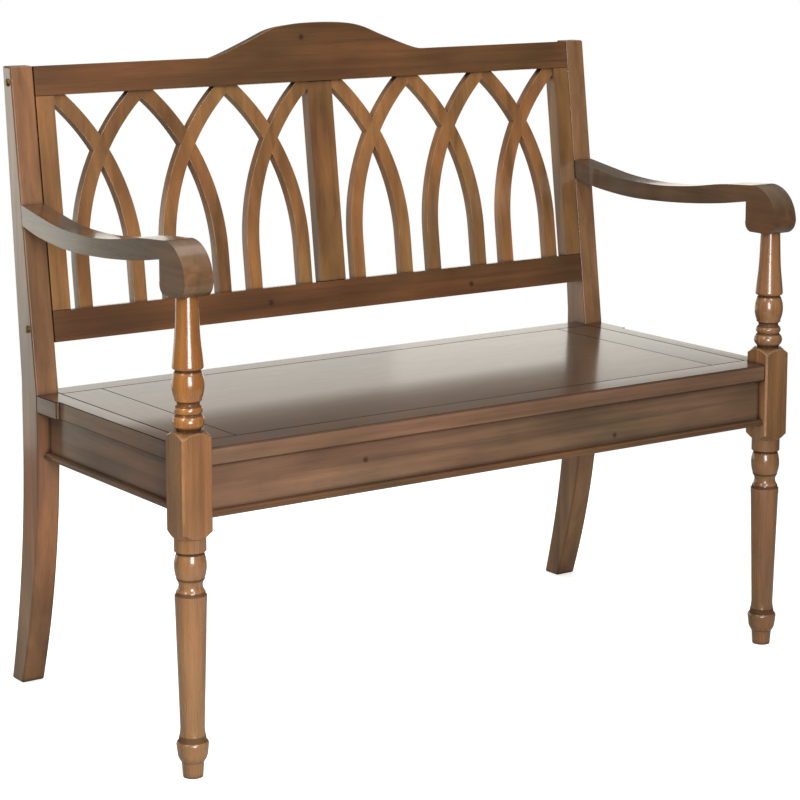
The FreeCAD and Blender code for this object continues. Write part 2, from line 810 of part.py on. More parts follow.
# Half the crest, from its foot inwards: shares of its reach and of its rise
CREST_RISE = ((0.91, 0.03), (0.78, 0.21), (0.585, 0.53), (0.4, 0.84), (0.22, 0.965))


def upright_tenons(spare):
    """The tenon boxes of the stiles and muntin, one tall box each, from rail to rail."""
    near = FRAME_MIDDLE - TENON_THICK / 2 - spare
    far = FRAME_MIDDLE + TENON_THICK / 2 + spare
    low = LOW_RAIL_TOP - TENON_LONG - spare
    high = TOP_RAIL_BOTTOM + TENON_LONG + spare
    stile_middle = POST_INNER - size("stile_wide") / 2
    uprights = {
        "left": (-stile_middle, STILE_TENON_HALF),
        "right": (stile_middle, STILE_TENON_HALF),
        "muntin": (dim(0), MUNTIN_TENON_HALF),
    }
    boxes = {}
    for label, (x, half) in uprights.items():
        boxes[label] = ((x - half - spare, near, low), (x + half + spare, far, high))
    return boxes


def bottom_rail(doc):
    body = back_body(doc, "back_bottom_rail")
    low = size("low_rail_bottom")
    add_box(body, (-POST_INNER, 0, low), (POST_INNER, size("frame_thick"), LOW_RAIL_TOP))
    for first, second in upright_tenons(FIT).values():
        cut_box(body, first, (second[0], second[1], LOW_RAIL_TOP + PAST))
    for number in range(CROSSINGS):
        for toward in (-1, 1):
            foot = crossing_x(number) - toward * size("slat_foot")
            cut_box(body, *slat_tenon(foot, FIT))
    cut_bolt_holes(body, LOW_RAIL_MIDDLE)


def top_rail(doc):
    """The crest rail: level shoulders with a serpentine rise in the middle."""
    body = back_body(doc, "back_top_rail")
    shoulder = size("shoulder_rise")
    reach = size("crest_reach")
    hump = size("crest_rise") - shoulder
    half_crest = [(reach * share, shoulder + hump * lift) for share, lift in CREST_RISE]
    crest = [(-x, z) for x, z in half_crest] + [(0, size("crest_rise"))] + half_crest[::-1]
    sketch = new_sketch(body, "XZ_Plane", 0)
    draw(
        sketch,
        (-POST_INNER, TOP_RAIL_BOTTOM),
        [
            (-POST_INNER, shoulder),
            (-reach, shoulder),
            crest + [(reach, shoulder)],
            (POST_INNER, shoulder),
            (POST_INNER, TOP_RAIL_BOTTOM),
        ],
    )
    extrude(body, "Pad", sketch, size("frame_thick"), reverse=True)
    for first, second in upright_tenons(FIT).values():
        cut_box(body, (first[0], first[1], TOP_RAIL_BOTTOM - PAST), second)
    cut_bolt_holes(body, TOP_RAIL_MIDDLE)


def cut_bolt_holes(body, rise):
    """A hole in each end of a rail for the bolt through the post."""
    for side in (-1, 1):
        spot = (FRAME_MIDDLE, rise)
        tip = side * (size("post_outer") - BOLT_LONG - FIT)
        cut_hole(body, "x", spot, BOLT_RADIUS + FIT, side * (POST_INNER + PAST), tip)


def stile(doc, name, side):
    body = back_body(doc, f"back_stile_{name}")
    far = (side * POST_INNER, size("frame_thick"), TOP_RAIL_BOTTOM)
    add_box(body, (side * STILE_INNER, 0, LOW_RAIL_TOP), far)
    add_box(body, *upright_tenons(0)[name])


def muntin(doc):
    body = back_body(doc, "back_muntin")
    far = (MUNTIN_HALF, size("frame_thick"), TOP_RAIL_BOTTOM)
    add_box(body, (-MUNTIN_HALF, size("slat_setback"), LOW_RAIL_TOP), far)
    add_box(body, *upright_tenons(0)["muntin"])


# ---------------------------------------------------------------- lattice

CROSSINGS = 6
CROSSING_PITCH = (STILE_INNER - MUNTIN_HALF) * 2 / CROSSINGS
# Width, thickness and length of a slat's stub tenon
SLAT_TENON = (14, 6, 8)


def crossing_x(number):
    """The middle of one of the crossings, counted from the left."""
    if number < CROSSINGS / 2:
        return -STILE_INNER + CROSSING_PITCH * (number + 0.5)
    return STILE_INNER - CROSSING_PITCH * (CROSSINGS - number - 0.5)


def slat_tenon(x, spare):
    """The stub tenon under a slat's foot, or its mortise with some spare."""
    wide, thick, tall = SLAT_TENON
    middle = size("slat_setback") + size("slat_thick") / 2
    across = wide / 2 + spare
    through = thick / 2 + spare
    end = LOW_RAIL_TOP + PAST if spare else LOW_RAIL_TOP
    first = (x - across, middle - through, LOW_RAIL_TOP - tall - spare)
    return first, (x + across, middle + through, end)


def draw_slat(sketch, middle, toward, half):
    """A slat: a straight foot, then an arc that leans toward its end at the top rail."""
    bend = size("slat_bend")
    start = size("slat_straight")
    foot = middle - toward * size("slat_foot")
    edge = middle + toward * CROSSING_PITCH / 2
    span = CROSSING_PITCH / 2 + size("slat_foot")

    def across(radius, rise):
        run = (radius * radius - (rise - start) * (rise - start)).root()
        return (foot + toward * (bend - run), rise)

    outer = bend + half
    inner = bend - half
    meeting = start + (inner * inner - (bend - span) * (bend - span)).root()
    draw(
        sketch,
        (foot - toward * half, LOW_RAIL_TOP),
        [
            (foot - toward * half, start),
            [across(outer, (start + TOP_RAIL_BOTTOM) / 2), across(outer, TOP_RAIL_BOTTOM)],
            (edge, TOP_RAIL_BOTTOM),
            (edge, meeting),
            [across(inner, (start + meeting) / 2), (foot + toward * half, start)],
            (foot + toward * half, LOW_RAIL_TOP),
        ],
    )


def slat(doc, number, way, toward):
    """One curved slat, halved where its partner crosses it."""
    body = back_body(doc, f"lattice_slat_{number + 1}_{way}")
    middle = crossing_x(number)
    half = size("slat_wide") / 2
    thick = size("slat_thick")
    front = size("slat_setback")
    sketch = new_sketch(body, "XZ_Plane", -front)
    draw_slat(sketch, middle, toward, half)
    extrude(body, "Pad", sketch, thick, reverse=True)
    add_box(body, *slat_tenon(middle - toward * size("slat_foot"), 0))
    lap_start = front - PAST if toward < 0 else front + thick / 2 - FIT / 2
    sketch = new_sketch(body, "XZ_Plane", -lap_start)
    draw_slat(sketch, middle, -toward, half + FIT / 2)
    extrude(body, "Pocket", sketch, thick / 2 + PAST + FIT / 2)


# ---------------------------------------------------------------- fasteners and dowels


def rod(doc, label, centre, radius, length, direction):
    """A plain round bar from a centre along a direction."""
    bar = doc.addObject("Part::Cylinder", label)
    bar.setExpression("Radius", dim(radius).text)
    bar.setExpression("Height", dim(length).text)
    turn_bar = FreeCAD.Rotation(FreeCAD.Vector(0, 0, 1), FreeCAD.Vector(*direction))
    bar.Placement = FreeCAD.Placement(FreeCAD.Vector(), turn_bar)
    x, y, z = centre
    place(bar, x, LEG_Y + y, z)
    return bar


def fused(doc, label, pieces):
    whole = doc.addObject("Part::MultiFuse", label)
    whole.Shapes = pieces
    return whole


def group(doc, label, pieces):
    """Identical pieces as one node of separate solids."""
    whole = doc.addObject("Part::Compound", label)
    whole.Label = label
    whole.Links = pieces


def moved(centre, direction, distance):
    """A point some distance from a centre along a direction."""
    return tuple(dim(value) + dim(step) * distance for value, step in zip(centre, direction))


def screw(doc, label, tip, direction):
    """A wood screw, from its tip back along a direction to its head."""
    shank = rod(doc, f"{label}_shank", tip, SCREW_RADIUS, SCREW_LONG, direction)
    seat = moved(tip, direction, SCREW_LONG)
    head = rod(doc, f"{label}_head", seat, SCREW_HEAD, SCREW_HEAD_TALL, direction)
    return fused(doc, label, [shank, head])


def seat_screws(doc):
    screws = []
    for _, side in SIDES:
        for y in SEAT_SCREW_YS:
            tip = (side * BATTEN_X, y, SEAT_SCREW_SEAT + SCREW_LONG)
            screws.append(screw(doc, f"seat_screw_{len(screws) + 1}", tip, (0, 0, -1)))
    group(doc, "seat_screws", screws)


def corner_screws(doc):
    screws = []
    for _, side in SIDES:
        for corner_y, inward in FRAME_ENDS:
            corner_x = side * APRON_INNER_X
            number = len(screws) + 1
            tip = (corner_x + side * SCREW_GRIP, corner_y + inward * SCREW_INSET, SCREW_LOW)
            screws.append(screw(doc, f"corner_screw_{number}", tip, (-side, 0, 0)))
            tip = (corner_x - side * SCREW_INSET, corner_y - inward * SCREW_GRIP, SCREW_HIGH)
            screws.append(screw(doc, f"corner_screw_{number + 1}", tip, (0, inward, 0)))
    group(doc, "corner_block_screws", screws)


def back_bolt(doc, label, side, rise):
    """A bolt through a post into a rail's end, with a low domed head outside."""
    y, z = on_back(rise, FRAME_MIDDLE)
    outside = (side * size("post_outer"), y, z)
    shank = rod(doc, f"{label}_shank", outside, BOLT_RADIUS, BOLT_LONG, (-side, 0, 0))
    rim = rod(doc, f"{label}_rim", outside, BOLT_HEAD, BOLT_RIM_TALL, (side, 0, 0))
    crown = rod(doc, f"{label}_crown", outside, BOLT_CROWN, BOLT_CROWN_TALL, (side, 0, 0))
    return fused(doc, label, [shank, rim, crown])


def back_bolts(doc):
    bolts = []
    for _, side in SIDES:
        for rise in (LOW_RAIL_MIDDLE, TOP_RAIL_MIDDLE):
            bolts.append(back_bolt(doc, f"back_bolt_{len(bolts) + 1}", side, rise))
    group(doc, "back_bolts", bolts)


def arm_dowels(doc):
    middle = size("post_outer") - size("post_wide") / 2
    dowels = []
    for name, side in SIDES:
        start = (side * middle, DOWEL_Y, DOWEL_Z)
        dowels.append(rod(doc, f"arm_dowel_{name}", start, DOWEL_RADIUS, DOWEL_LONG, (0, 1, 0)))
    group(doc, "arm_dowels", dowels)


# ---------------------------------------------------------------- the whole pew


def build(doc):
    make_sheet(doc)
    for name, side in SIDES:
        front_leg(doc, name, side)
        rear_leg(doc, name, side)
        arm(doc, name, side)
        side_apron(doc, name, side)
        side_bead(doc, name, side)
        end_board(doc, name, side)
        cleat(doc, name, side)
        batten(doc, name, side)
        corner_block(doc, "front", FRONT_APRON_BACK, 1, name, side)
        corner_block(doc, "rear", REAR_APRON_FACE, -1, name, side)
        stile(doc, name, side)
    front_apron(doc)
    rear_apron(doc)
    front_bead(doc)
    front_strip(doc)
    rear_strip(doc)
    centre_panel(doc)
    bottom_rail(doc)
    top_rail(doc)
    muntin(doc)
    for number in range(CROSSINGS):
        slat(doc, number, "rising", 1)
        slat(doc, number, "falling", -1)
    seat_screws(doc)
    corner_screws(doc)
    back_bolts(doc)
    arm_dowels(doc)
    doc.recompute()


def check(doc):
    """Stops at any object that did not build."""
    for item in doc.Objects:
        if "Invalid" in item.State or "Error" in item.State:
            raise RuntimeError(f"{item.Label}: {item.State}")
        shape = getattr(item, "Shape", None)
        if shape is None or item.isDerivedFrom("App::OriginFeature"):
            continue
        if item.isDerivedFrom("PartDesign::Body") or item.isDerivedFrom("Part::Compound"):
            if shape.isNull() or not shape.isValid():
                raise RuntimeError(f"{item.Label}: the shape is null or invalid")


def export(doc):
    os.makedirs("parts", exist_ok=True)
    for item in doc.Objects:
        if item.isDerivedFrom("PartDesign::Body") or item.isDerivedFrom("Part::Compound"):
            item.Shape.exportStep(f"parts/{item.Label}.step")


def main():
    doc = FreeCAD.newDocument("pew")
    build(doc)
    check(doc)
    export(doc)


main()
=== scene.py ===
"""A hall pew in stained, lacquered hardwood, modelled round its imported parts."""

import math
import random

import bmesh
import bpy
from bpy.props import FloatProperty, FloatVectorProperty, PointerProperty
from mathutils import Matrix, Vector


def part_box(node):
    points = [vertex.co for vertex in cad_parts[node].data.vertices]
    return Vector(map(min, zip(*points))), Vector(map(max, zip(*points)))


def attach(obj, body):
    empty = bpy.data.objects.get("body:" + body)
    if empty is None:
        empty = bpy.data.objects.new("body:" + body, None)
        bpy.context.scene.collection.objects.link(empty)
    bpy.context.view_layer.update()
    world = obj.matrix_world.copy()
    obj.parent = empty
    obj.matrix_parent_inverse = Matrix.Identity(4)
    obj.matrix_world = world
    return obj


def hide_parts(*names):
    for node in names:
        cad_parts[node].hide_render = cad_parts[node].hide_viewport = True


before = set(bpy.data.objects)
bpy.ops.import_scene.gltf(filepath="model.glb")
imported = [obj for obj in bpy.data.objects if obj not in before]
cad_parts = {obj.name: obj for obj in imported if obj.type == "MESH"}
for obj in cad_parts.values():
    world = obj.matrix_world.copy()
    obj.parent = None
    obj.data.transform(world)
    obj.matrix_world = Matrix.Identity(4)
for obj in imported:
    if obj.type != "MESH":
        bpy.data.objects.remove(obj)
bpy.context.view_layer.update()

bl_info = {
    "name": "Hall Pew",
    "version": (1, 0, 0),
    "blender": (4, 5, 0),
    "location": "View3D > Sidebar > Pew",
    "description": "Models a small pew with turned legs and a lattice back",
    "category": "Object",
}

MM = 0.001

# ---------------------------------------------------------------- places read from the frame


def low(node):
    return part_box(node)[0]


def high(node):
    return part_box(node)[1]


SEAT_TOP = high("seat_centre_panel").z
LEG_X = (low("front_leg_right").x + high("front_leg_right").x) / 2
LEG_Y = (low("front_leg_right").y + high("front_leg_right").y) / 2
POST_OUTER = high("rear_leg_right").x
POST_INNER = low("rear_leg_right").x
POST_FRONT = low("rear_leg_right").y
POST_TOP = high("rear_leg_right").z
SIDES = (("left", -1), ("right", 1))

# The back leans from the posts' front face at the seat. Heights on it run up the slope from the seat.
LEAN = math.radians(7.3)
BACK = Matrix.Translation((0, POST_FRONT, SEAT_TOP)) @ Matrix.Rotation(-LEAN, 4, "X")
FRAME_THICK = 22 * MM
LATTICE_SETBACK = 4 * MM
LOW_RAIL = (73.5 * MM, 119 * MM)
TOP_RAIL = (431.5 * MM, 474.5 * MM)
CREST_RISE = 522.5 * MM
CREST_REACH = 205 * MM
STILE_INNER = high("lattice_slat_6_rising").x
MUNTIN_HALF = high("back_muntin").x

# Rounding and wear
ROUND_STEPS = 48
SEAM_ROUND = 0.9 * MM
SMOOTH_UP_TO = math.radians(42)
# What the wear value of a face says: stain rubbed through, none, and more and more darkening: dirt and glaze
# in seams and grooves, a darker seat nose, and painted dark reflection on the posts' rounded edges
RUBBED = 1
PLAIN = 0
# Painted dark reflection on the posts' rounded edges
POST_EDGE_PAINTED_REFLECTION = -0.25
# The seat's rounded nose is darker
NOSE_DARKER = -0.6
GROOVE_GRIME = -0.6
BEAD_GRIME = -0.7
SEAM_GRIME = -1


# ---------------------------------------------------------------- what a user may change


def linear(hex_colour):
    """An sRGB hex colour as linear red, green, blue and alpha."""
    parts = [int(hex_colour[n : n + 2], 16) / 255 for n in (1, 3, 5)]
    return [p / 12.92 if p <= 0.04045 else ((p + 0.055) / 1.055) ** 2.4 for p in parts] + [1]


class PewSizes(bpy.types.PropertyGroup):
    arris: FloatProperty(name="Arris", description="Rounding on the sawn edges",
                         default=1.1 * MM, min=0.2 * MM, max=4 * MM, unit="LENGTH")
    seat_nose: FloatProperty(name="Seat Nose", description="Rounding on the seat's front edge",
                             default=2.6 * MM, min=0.5 * MM, max=8 * MM, unit="LENGTH")
    slat_wide: FloatProperty(name="Slat Width", description="Width of a lattice slat",
                             default=22.5 * MM, min=10 * MM, max=30 * MM, unit="LENGTH")
    slat_bend: FloatProperty(name="Slat Bend", description="Radius of a slat's curved part",
                             default=335 * MM, min=250 * MM, max=600 * MM, unit="LENGTH")


def stain(name, description, shade):
    """A colour that a user may change."""
    return FloatVectorProperty(name=name, description=description, default=linear(shade)[:3],
                               subtype="COLOR", min=0, max=1)


class PewFinish(bpy.types.PropertyGroup):
    board: stain("Boards", "Main colour of the rails and beads", "#5C3D23")
    apron: stain("Aprons", "Main colour of the aprons and the seat's edges", "#6B513E")
    seat: stain("Seat", "Main colour of the seat's upper face", "#3E2817")
    arm: stain("Arms", "Main colour of the arms", "#58402B")
    post: stain("Posts", "Main colour of the rear legs", "#80593B")
    lattice: stain("Lattice", "Main colour of the slats, stiles and muntin", "#815934")
    turned: stain("Turned Legs", "Main colour of the turned front legs", "#7B5536")
    # Only the left spindle has this colour: a lighter, more orange copy of the turned legs' colour, painted
    # light where that spindle is lit more than the right one
    spindle: stain("Spindles", "Main colour of the spindles above the seat", "#8C5A2C")
    worn: stain("Worn Arris", "Where the stain has rubbed through", "#A27A4C")
    # This colour also serves as painted shade in the corners and painted dark reflection on the posts'
    # rounded edges
    glaze: stain("Glaze", "Dark glaze held in corners and seams", "#20110A")


class PewStage(bpy.types.PropertyGroup):
    camera_place: FloatVectorProperty(name="Camera Place", description="Where the camera stands",
                                      default=(-2.1165, -3.0138, 1.1845),
                                      subtype="TRANSLATION", unit="LENGTH")
    camera_turn: FloatProperty(name="Camera Turn", description="How far the camera turns to the right",
                               default=math.radians(34.98), subtype="ANGLE", unit="ROTATION")
    camera_dip: FloatProperty(name="Camera Dip", description="How far the camera looks down",
                              default=math.radians(8.96), subtype="ANGLE", unit="ROTATION")
    lens: FloatProperty(name="Lens", description="Focal length in millimetres on a 36 mm sensor",
                        default=111.92, min=20, max=300)


def sizes():
    return bpy.context.scene.pew_sizes


def finish():
    return bpy.context.scene.pew_finish


# ---------------------------------------------------------------- nodes


def add(tree, kind, inputs=None, **settings):
    """Adds a node; an input is a value or another node's output, by name or number."""
    node = tree.nodes.new("ShaderNode" + kind)
    for name, value in settings.items():
        if name == "stops":
            ramp = node.color_ramp.elements
            while len(ramp) < len(value):
                ramp.new(0.5)
            for element, (place, colour) in zip(ramp, value):
                element.position = place
                element.color = colour
        else:
            setattr(node, name, value)
    for name, value in (inputs or {}).items():
        if isinstance(value, bpy.types.NodeSocket):
            tree.links.new(value, node.inputs[name])
        else:
            node.inputs[name].default_value = value
    return node


def new_material(name):
    """A material with no nodes yet, and its node tree."""
    material = bpy.data.materials.new(name)
    material.use_nodes = True
    material.node_tree.nodes.clear()
    return material, material.node_tree


def mixed(tree, kind, factor, first, second):
    """The colour of a mix of two colours."""
    node = add(tree, "Mix", {0: factor, 6: first, 7: second}, data_type="RGBA", blend_type=kind)
    return node.outputs[2]


def noise(tree, place, step, detail, **more):
    """A noise that changes over about a step, in metres."""
    inputs = {"Vector": place, "Scale": 1 / step, "Detail": detail}
    inputs.update(more)
    return add(tree, "TexNoise", inputs).outputs["Fac"]


def ranged(tree, value, low_end, high_end, least=0.0, most=1.0):
    """A value spread between least and most, and held there past its two ends."""
    inputs = {"Value": value, "From Min": low_end, "From Max": high_end, "To Min": least, "To Max": most}
    return add(tree, "MapRange", inputs).outputs[0]


def maths(tree, operation, *values, clamp=False):
    """The result of one sum on two or three values."""
    return add(tree, "Math", dict(enumerate(values)), operation=operation, use_clamp=clamp).outputs[0]


def grain_space(tree, along, stretch):
    """Object coordinates, moved per piece by its tone, then squeezed along the grain."""
    place = add(tree, "TexCoord").outputs["Object"]
    tone = add(tree, "Attribute", attribute_name="tone").outputs["Fac"]
    shift = add(tree, "VectorMath", {0: (0.71, 0.37, 0.53), "Scale": tone}, operation="SCALE").outputs[0]
    moved = add(tree, "VectorMath", {0: place, 1: shift}, operation="ADD").outputs[0]
    scale = [stretch if axis == along else 1 for axis in "XYZ"]
    return add(tree, "Mapping", {"Vector": moved, "Scale": scale}).outputs[0], place, tone


def opaque(colour):
    """A colour with its alpha."""
    return (*colour, 1)


# ---------------------------------------------------------------- stained wood

# How much darker and lighter than its main colour the figure gets
DARK_FIGURE = 0.62
LIGHT_FIGURE = (1.36, 1.36, 1.22)
FIBRE_SHARE = 0.16


def figured(tree, main, rings, fibres):
    """The growth rings with the fibres over them, from the darkest stain to the lightest."""
    figure = maths(tree, "MULTIPLY_ADD", fibres, FIBRE_SHARE, rings)
    figure = maths(tree, "SUBTRACT", figure, FIBRE_SHARE / 2)
    dark = opaque([part * DARK_FIGURE for part in main])
    light = opaque([part * lift for part, lift in zip(main, LIGHT_FIGURE)])
    stops = [(0.22, dark), (0.5, opaque(main)), (0.78, light)]
    return add(tree, "ValToRGB", {"Fac": figure}, stops=stops).outputs[0]


def blotched(tree, colour, along, place, tone):
    """Blotches where the stain took unevenly, drawn out along the grain."""
    scale = [0.4 if axis == along else 1 for axis in "XYZ"]
    patches = add(tree, "Mapping", {"Vector": place, "Scale": scale}).outputs[0]
    # Light and dark, moved up or down by the piece's own tone
    shade = maths(tree, "MULTIPLY_ADD", tone, 0.22, noise(tree, patches, 70 * MM, 2.0))
    shade = ranged(tree, shade, 0.3, 0.9, 0.56, 1.42)
    # From olive to red, over longer stretches
    red = ranged(tree, noise(tree, patches, 110 * MM, 1.0), 0.35, 0.65, 0.92, 1.09)
    red = maths(tree, "MULTIPLY", shade, red)
    tint = add(tree, "CombineColor", {0: red, 1: shade, 2: shade}).outputs[0]
    return mixed(tree, "MULTIPLY", 1.0, colour, tint)


def glazed_and_shaded(tree, colour, amount):
    """A colour with some of the dark glaze over it: glaze in pores, knots and seams, and painted shade in
    corners and painted dark reflection on the posts' edges.
    """
    return mixed(tree, "MIX", amount, colour, opaque(finish().glaze))


def knotted(tree, colour, place, rings, knots):
    """Small dark knots, each at a place with a radius; their rims wander with the rings."""
    for x, y, z, radius in knots:
        away = add(tree, "VectorMath", {0: place, 1: (x, y, z)}, operation="DISTANCE").outputs["Value"]
        away = maths(tree, "MULTIPLY_ADD", rings, radius, away)
        colour = glazed_and_shaded(tree, colour, ranged(tree, away, radius * 0.9, radius * 2.6, 0.85, 0.0))
    return colour


def rubbed(tree, colour, place, arris):
    """Stain rubbed through on the arrises, in broken lengths."""
    broken = ranged(tree, noise(tree, place, 22 * MM, 3.0), 0.38, 0.62, 0.05, 0.6)
    amount = maths(tree, "MULTIPLY", arris, broken, clamp=True)
    return mixed(tree, "MIX", amount, colour, opaque(finish().worn))


def stained_wood(name, along, main, roughness, coat, coat_roughness, pore_depth, knots):
    """Rubberwood or similar, planed, stained walnut brown and sprayed with lacquer.

    The eye sees a low figure of long streaks, short dark pores, blotchy stain, lighter
    arrises where the stain has rubbed through and darker glaze with painted shade in the corners.
    """
    material, tree = new_material(name)
    grain, place, tone = grain_space(tree, along, 0.03)
    rings = noise(tree, grain, 16 * MM, 3.0, Roughness=0.55, Distortion=0.6)
    # Fibres, coarser than real ones so that they show
    fibres = noise(tree, grain, 1.8 * MM, 2.0, Roughness=0.6)
    # Pores are short dark dashes along the grain
    pores = ranged(tree, noise(tree, grain, 0.9 * MM, 0.0), 0.62, 0.72)
    # The wear value holds dirt below zero, which hides the lacquer in the seams between boards; on the
    # posts' rounded edges the same darkening is a painted dark reflection
    arris = add(tree, "Attribute", attribute_name="arris").outputs["Fac"]
    grime_and_painted_reflection = maths(tree, "MULTIPLY", arris, -0.95, clamp=True)
    # Glaze and painted shade darken the corners and grooves, within this distance of a neighbouring face
    corner_glaze_and_painted_shade = add(tree, "AmbientOcclusion", {"Distance": 9 * MM}, samples=6).outputs["AO"]

    colour = figured(tree, main, rings, fibres)
    colour = blotched(tree, colour, along, place, tone)
    colour = glazed_and_shaded(tree, colour, maths(tree, "MULTIPLY", pores, pore_depth))
    colour = knotted(tree, colour, place, rings, knots)
    # Painted shade: darker where the corners keep light out, with the glaze held there
    colour = glazed_and_shaded(tree, colour, ranged(tree, corner_glaze_and_painted_shade, 0.35, 0.85, 0.9, 0.0))
    colour = rubbed(tree, colour, place, arris)
    # Dirt in the seams and grooves, a darker seat nose, and painted dark reflection on the posts' rounded
    # edges
    colour = glazed_and_shaded(tree, colour, grime_and_painted_reflection)

    gloss = ranged(tree, fibres, 0.0, 1.0, roughness - 0.05, roughness + 0.1)
    gloss = maths(tree, "ADD", gloss, grime_and_painted_reflection, clamp=True)
    relief = maths(tree, "SUBTRACT", fibres, pores)
    bump = add(tree, "Bump", {"Height": relief, "Strength": 0.12, "Distance": 0.3 * MM}).outputs[0]
    clean = maths(tree, "SUBTRACT", 1.0, grime_and_painted_reflection)
    surface = {
        "Base Color": colour,
        "Roughness": gloss,
        "Normal": bump,
        "IOR": 1.5,
        "Specular IOR Level": maths(tree, "MULTIPLY", clean, 0.5),
        "Coat Weight": maths(tree, "MULTIPLY", clean, coat),
        "Coat Roughness": coat_roughness,
    }
    shader = add(tree, "BsdfPrincipled", surface)
    add(tree, "OutputMaterial", {"Surface": shader.outputs[0]})
    return material


# ---------------------------------------------------------------- bare wood and steel


def bare_wood(name, along):
    """Unstained softwood, planed: the battens and blocks under the seat, and the arms' dowels."""
    material, tree = new_material(name)
    grain = grain_space(tree, along, 0.06)[0]
    rings = noise(tree, grain, 7 * MM, 3.0, Distortion=0.4)
    stops = [(0.35, linear("#8A6238")), (0.5, linear("#B58B58")), (0.65, linear("#CBA877"))]
    colour = add(tree, "ValToRGB", {"Fac": rings}, stops=stops).outputs[0]
    bump = add(tree, "Bump", {"Height": rings, "Strength": 0.2, "Distance": 0.3 * MM}).outputs[0]
    rough = ranged(tree, rings, 0.0, 1.0, 0.55, 0.75)
    shader = add(tree, "BsdfPrincipled", {"Base Color": colour, "Roughness": rough, "Normal": bump})
    add(tree, "OutputMaterial", {"Surface": shader.outputs[0]})
    return material


def bronzed_steel(name):
    """Bronzed steel: pressed heads with a thin brown finish, a little mottled."""
    material, tree = new_material(name)
    place = add(tree, "TexCoord").outputs["Object"]
    mottle = noise(tree, place, 3 * MM, 2.0)
    stops = [(0.3, linear("#6A5038")), (0.7, linear("#A98D68"))]
    colour = add(tree, "ValToRGB", {"Fac": mottle}, stops=stops).outputs[0]
    rough = ranged(tree, mottle, 0.0, 1.0, 0.28, 0.5)
    shader = add(tree, "BsdfPrincipled", {"Base Color": colour, "Roughness": rough, "Metallic": 1.0})
    add(tree, "OutputMaterial", {"Surface": shader.outputs[0]})
    return material


def material_for(kind, along):
    """The material of a finish, made once for each grain direction; steel has no grain."""
    name = kind if kind == "bronzed_steel" else f"{kind}_grain_{along.lower()}"
    if name in bpy.data.materials:
        return bpy.data.materials[name]
    if kind == "bronzed_steel":
        return bronzed_steel(name)
    if kind == "bare_pine":
        return bare_wood(name, along)
    look = finish()
    # Colour, roughness, coat weight, coat roughness, depth of the pores, knots
    recipes = {
        "walnut_board": (look.board, 0.34, 0.4, 0.14, 0.2, knot_places()),
        "walnut_apron": (look.apron, 0.34, 0.4, 0.14, 0.2, knot_places()),
        "walnut_seat": (look.seat, 0.34, 0.8, 0.15, 0.15, ()),
        "walnut_arm": (look.arm, 0.2, 0.35, 0.08, 0.12, ()),
        "walnut_post": (look.post, 0.34, 0.6, 0.12, 0.15, ()),
        "walnut_lattice": (look.lattice, 0.34, 0.35, 0.16, 0.12, ()),
        "walnut_turned": (look.turned, 0.26, 0.6, 0.07, 0.1, ()),
        "walnut_spindle_painted_light": (look.spindle, 0.24, 0.7, 0.06, 0.1, ()),
    }
    return stained_wood(name, along, *recipes[kind])


# On the back: across and up the slope. On the front apron: across and up. All in mm
KNOTS_ON_BACK = ((-30, 500), (-120, 96), (262, 90))
KNOTS_ON_APRON = ((-240, 398), (205, 375))


def knot_places():
    """The small knots on the crest, the bottom rail and the front apron, each with its radius."""
    places = []
    for x, rise in KNOTS_ON_BACK:
        spot = BACK @ Vector((x * MM, 0, rise * MM))
        places.append((*spot, 3.2 * MM))
    for x, z in KNOTS_ON_APRON:
        places.append((x * MM, low("front_apron").y, z * MM, 2.6 * MM))
    return places


# ---------------------------------------------------------------- shaping helpers


def box(bm, first, second):
    """Adds a box between two opposite corners and returns its vertices."""
    first = Vector(first)
    second = Vector(second)
    middle = (first + second) / 2
    extent = second - first
    place = Matrix.Translation(middle) @ Matrix.Diagonal((*[abs(n) for n in extent], 1))
    return bmesh.ops.create_cube(bm, size=1, matrix=place)["verts"]


def soften(bm, edges, radius, segments=2, wear=RUBBED):
    """Rounds edges and gives the new faces their wear value."""
    worn = bm.faces.layers.float["arris"]
    made = bmesh.ops.bevel(bm, geom=list(edges), offset=radius, offset_type="OFFSET", segments=segments,
                           profile=0.5, affect="EDGES", material=-1, clamp_overlap=True)
    for face in made["faces"]:
        face[worn] = wear


def soften_joined(bm, edges, radius, joint):
    """Rounds edges: those that pass the joint's test hold dirt, the others show wear."""
    fitted = [edge for edge in edges if joint((edge.verts[0].co + edge.verts[1].co) / 2)]
    free = [edge for edge in edges if edge not in fitted]
    soften(bm, fitted, SEAM_ROUND, 2, SEAM_GRIME)
    soften(bm, [edge for edge in free if edge.is_valid], radius)


def sharp_edges(bm, degrees=32):
    """The edges where two faces meet at more than an angle."""
    limit = math.radians(degrees)
    return [e for e in bm.edges if len(e.link_faces) == 2 and e.calc_face_angle() > limit]


def start():
    """A new bmesh with the layers that the materials read."""
    bm = bmesh.new()
    bm.faces.layers.float.new("arris")
    bm.faces.layers.float.new("tone")
    return bm


def arc(first, crown, last, steps):
    """Points on the circle through three points, after the first one."""
    a, b, c = (Vector(p) for p in (first, crown, last))
    aa, bb, cc = (p.length_squared for p in (a, b, c))
    turn = 2 * (a.x * (b.y - c.y) + b.x * (c.y - a.y) + c.x * (a.y - b.y))
    x = (aa * (b.y - c.y) + bb * (c.y - a.y) + cc * (a.y - b.y)) / turn
    y = (aa * (c.x - b.x) + bb * (a.x - c.x) + cc * (b.x - a.x)) / turn
    centre = Vector((x, y))
    sweep = (b - centre).angle_signed(a - centre) + (c - centre).angle_signed(b - centre)
    points = []
    for n in range(1, steps + 1):
        turned = a - centre
        turned.rotate(Matrix.Rotation(sweep * n / steps, 2))
        points.append(centre + turned)
    return points


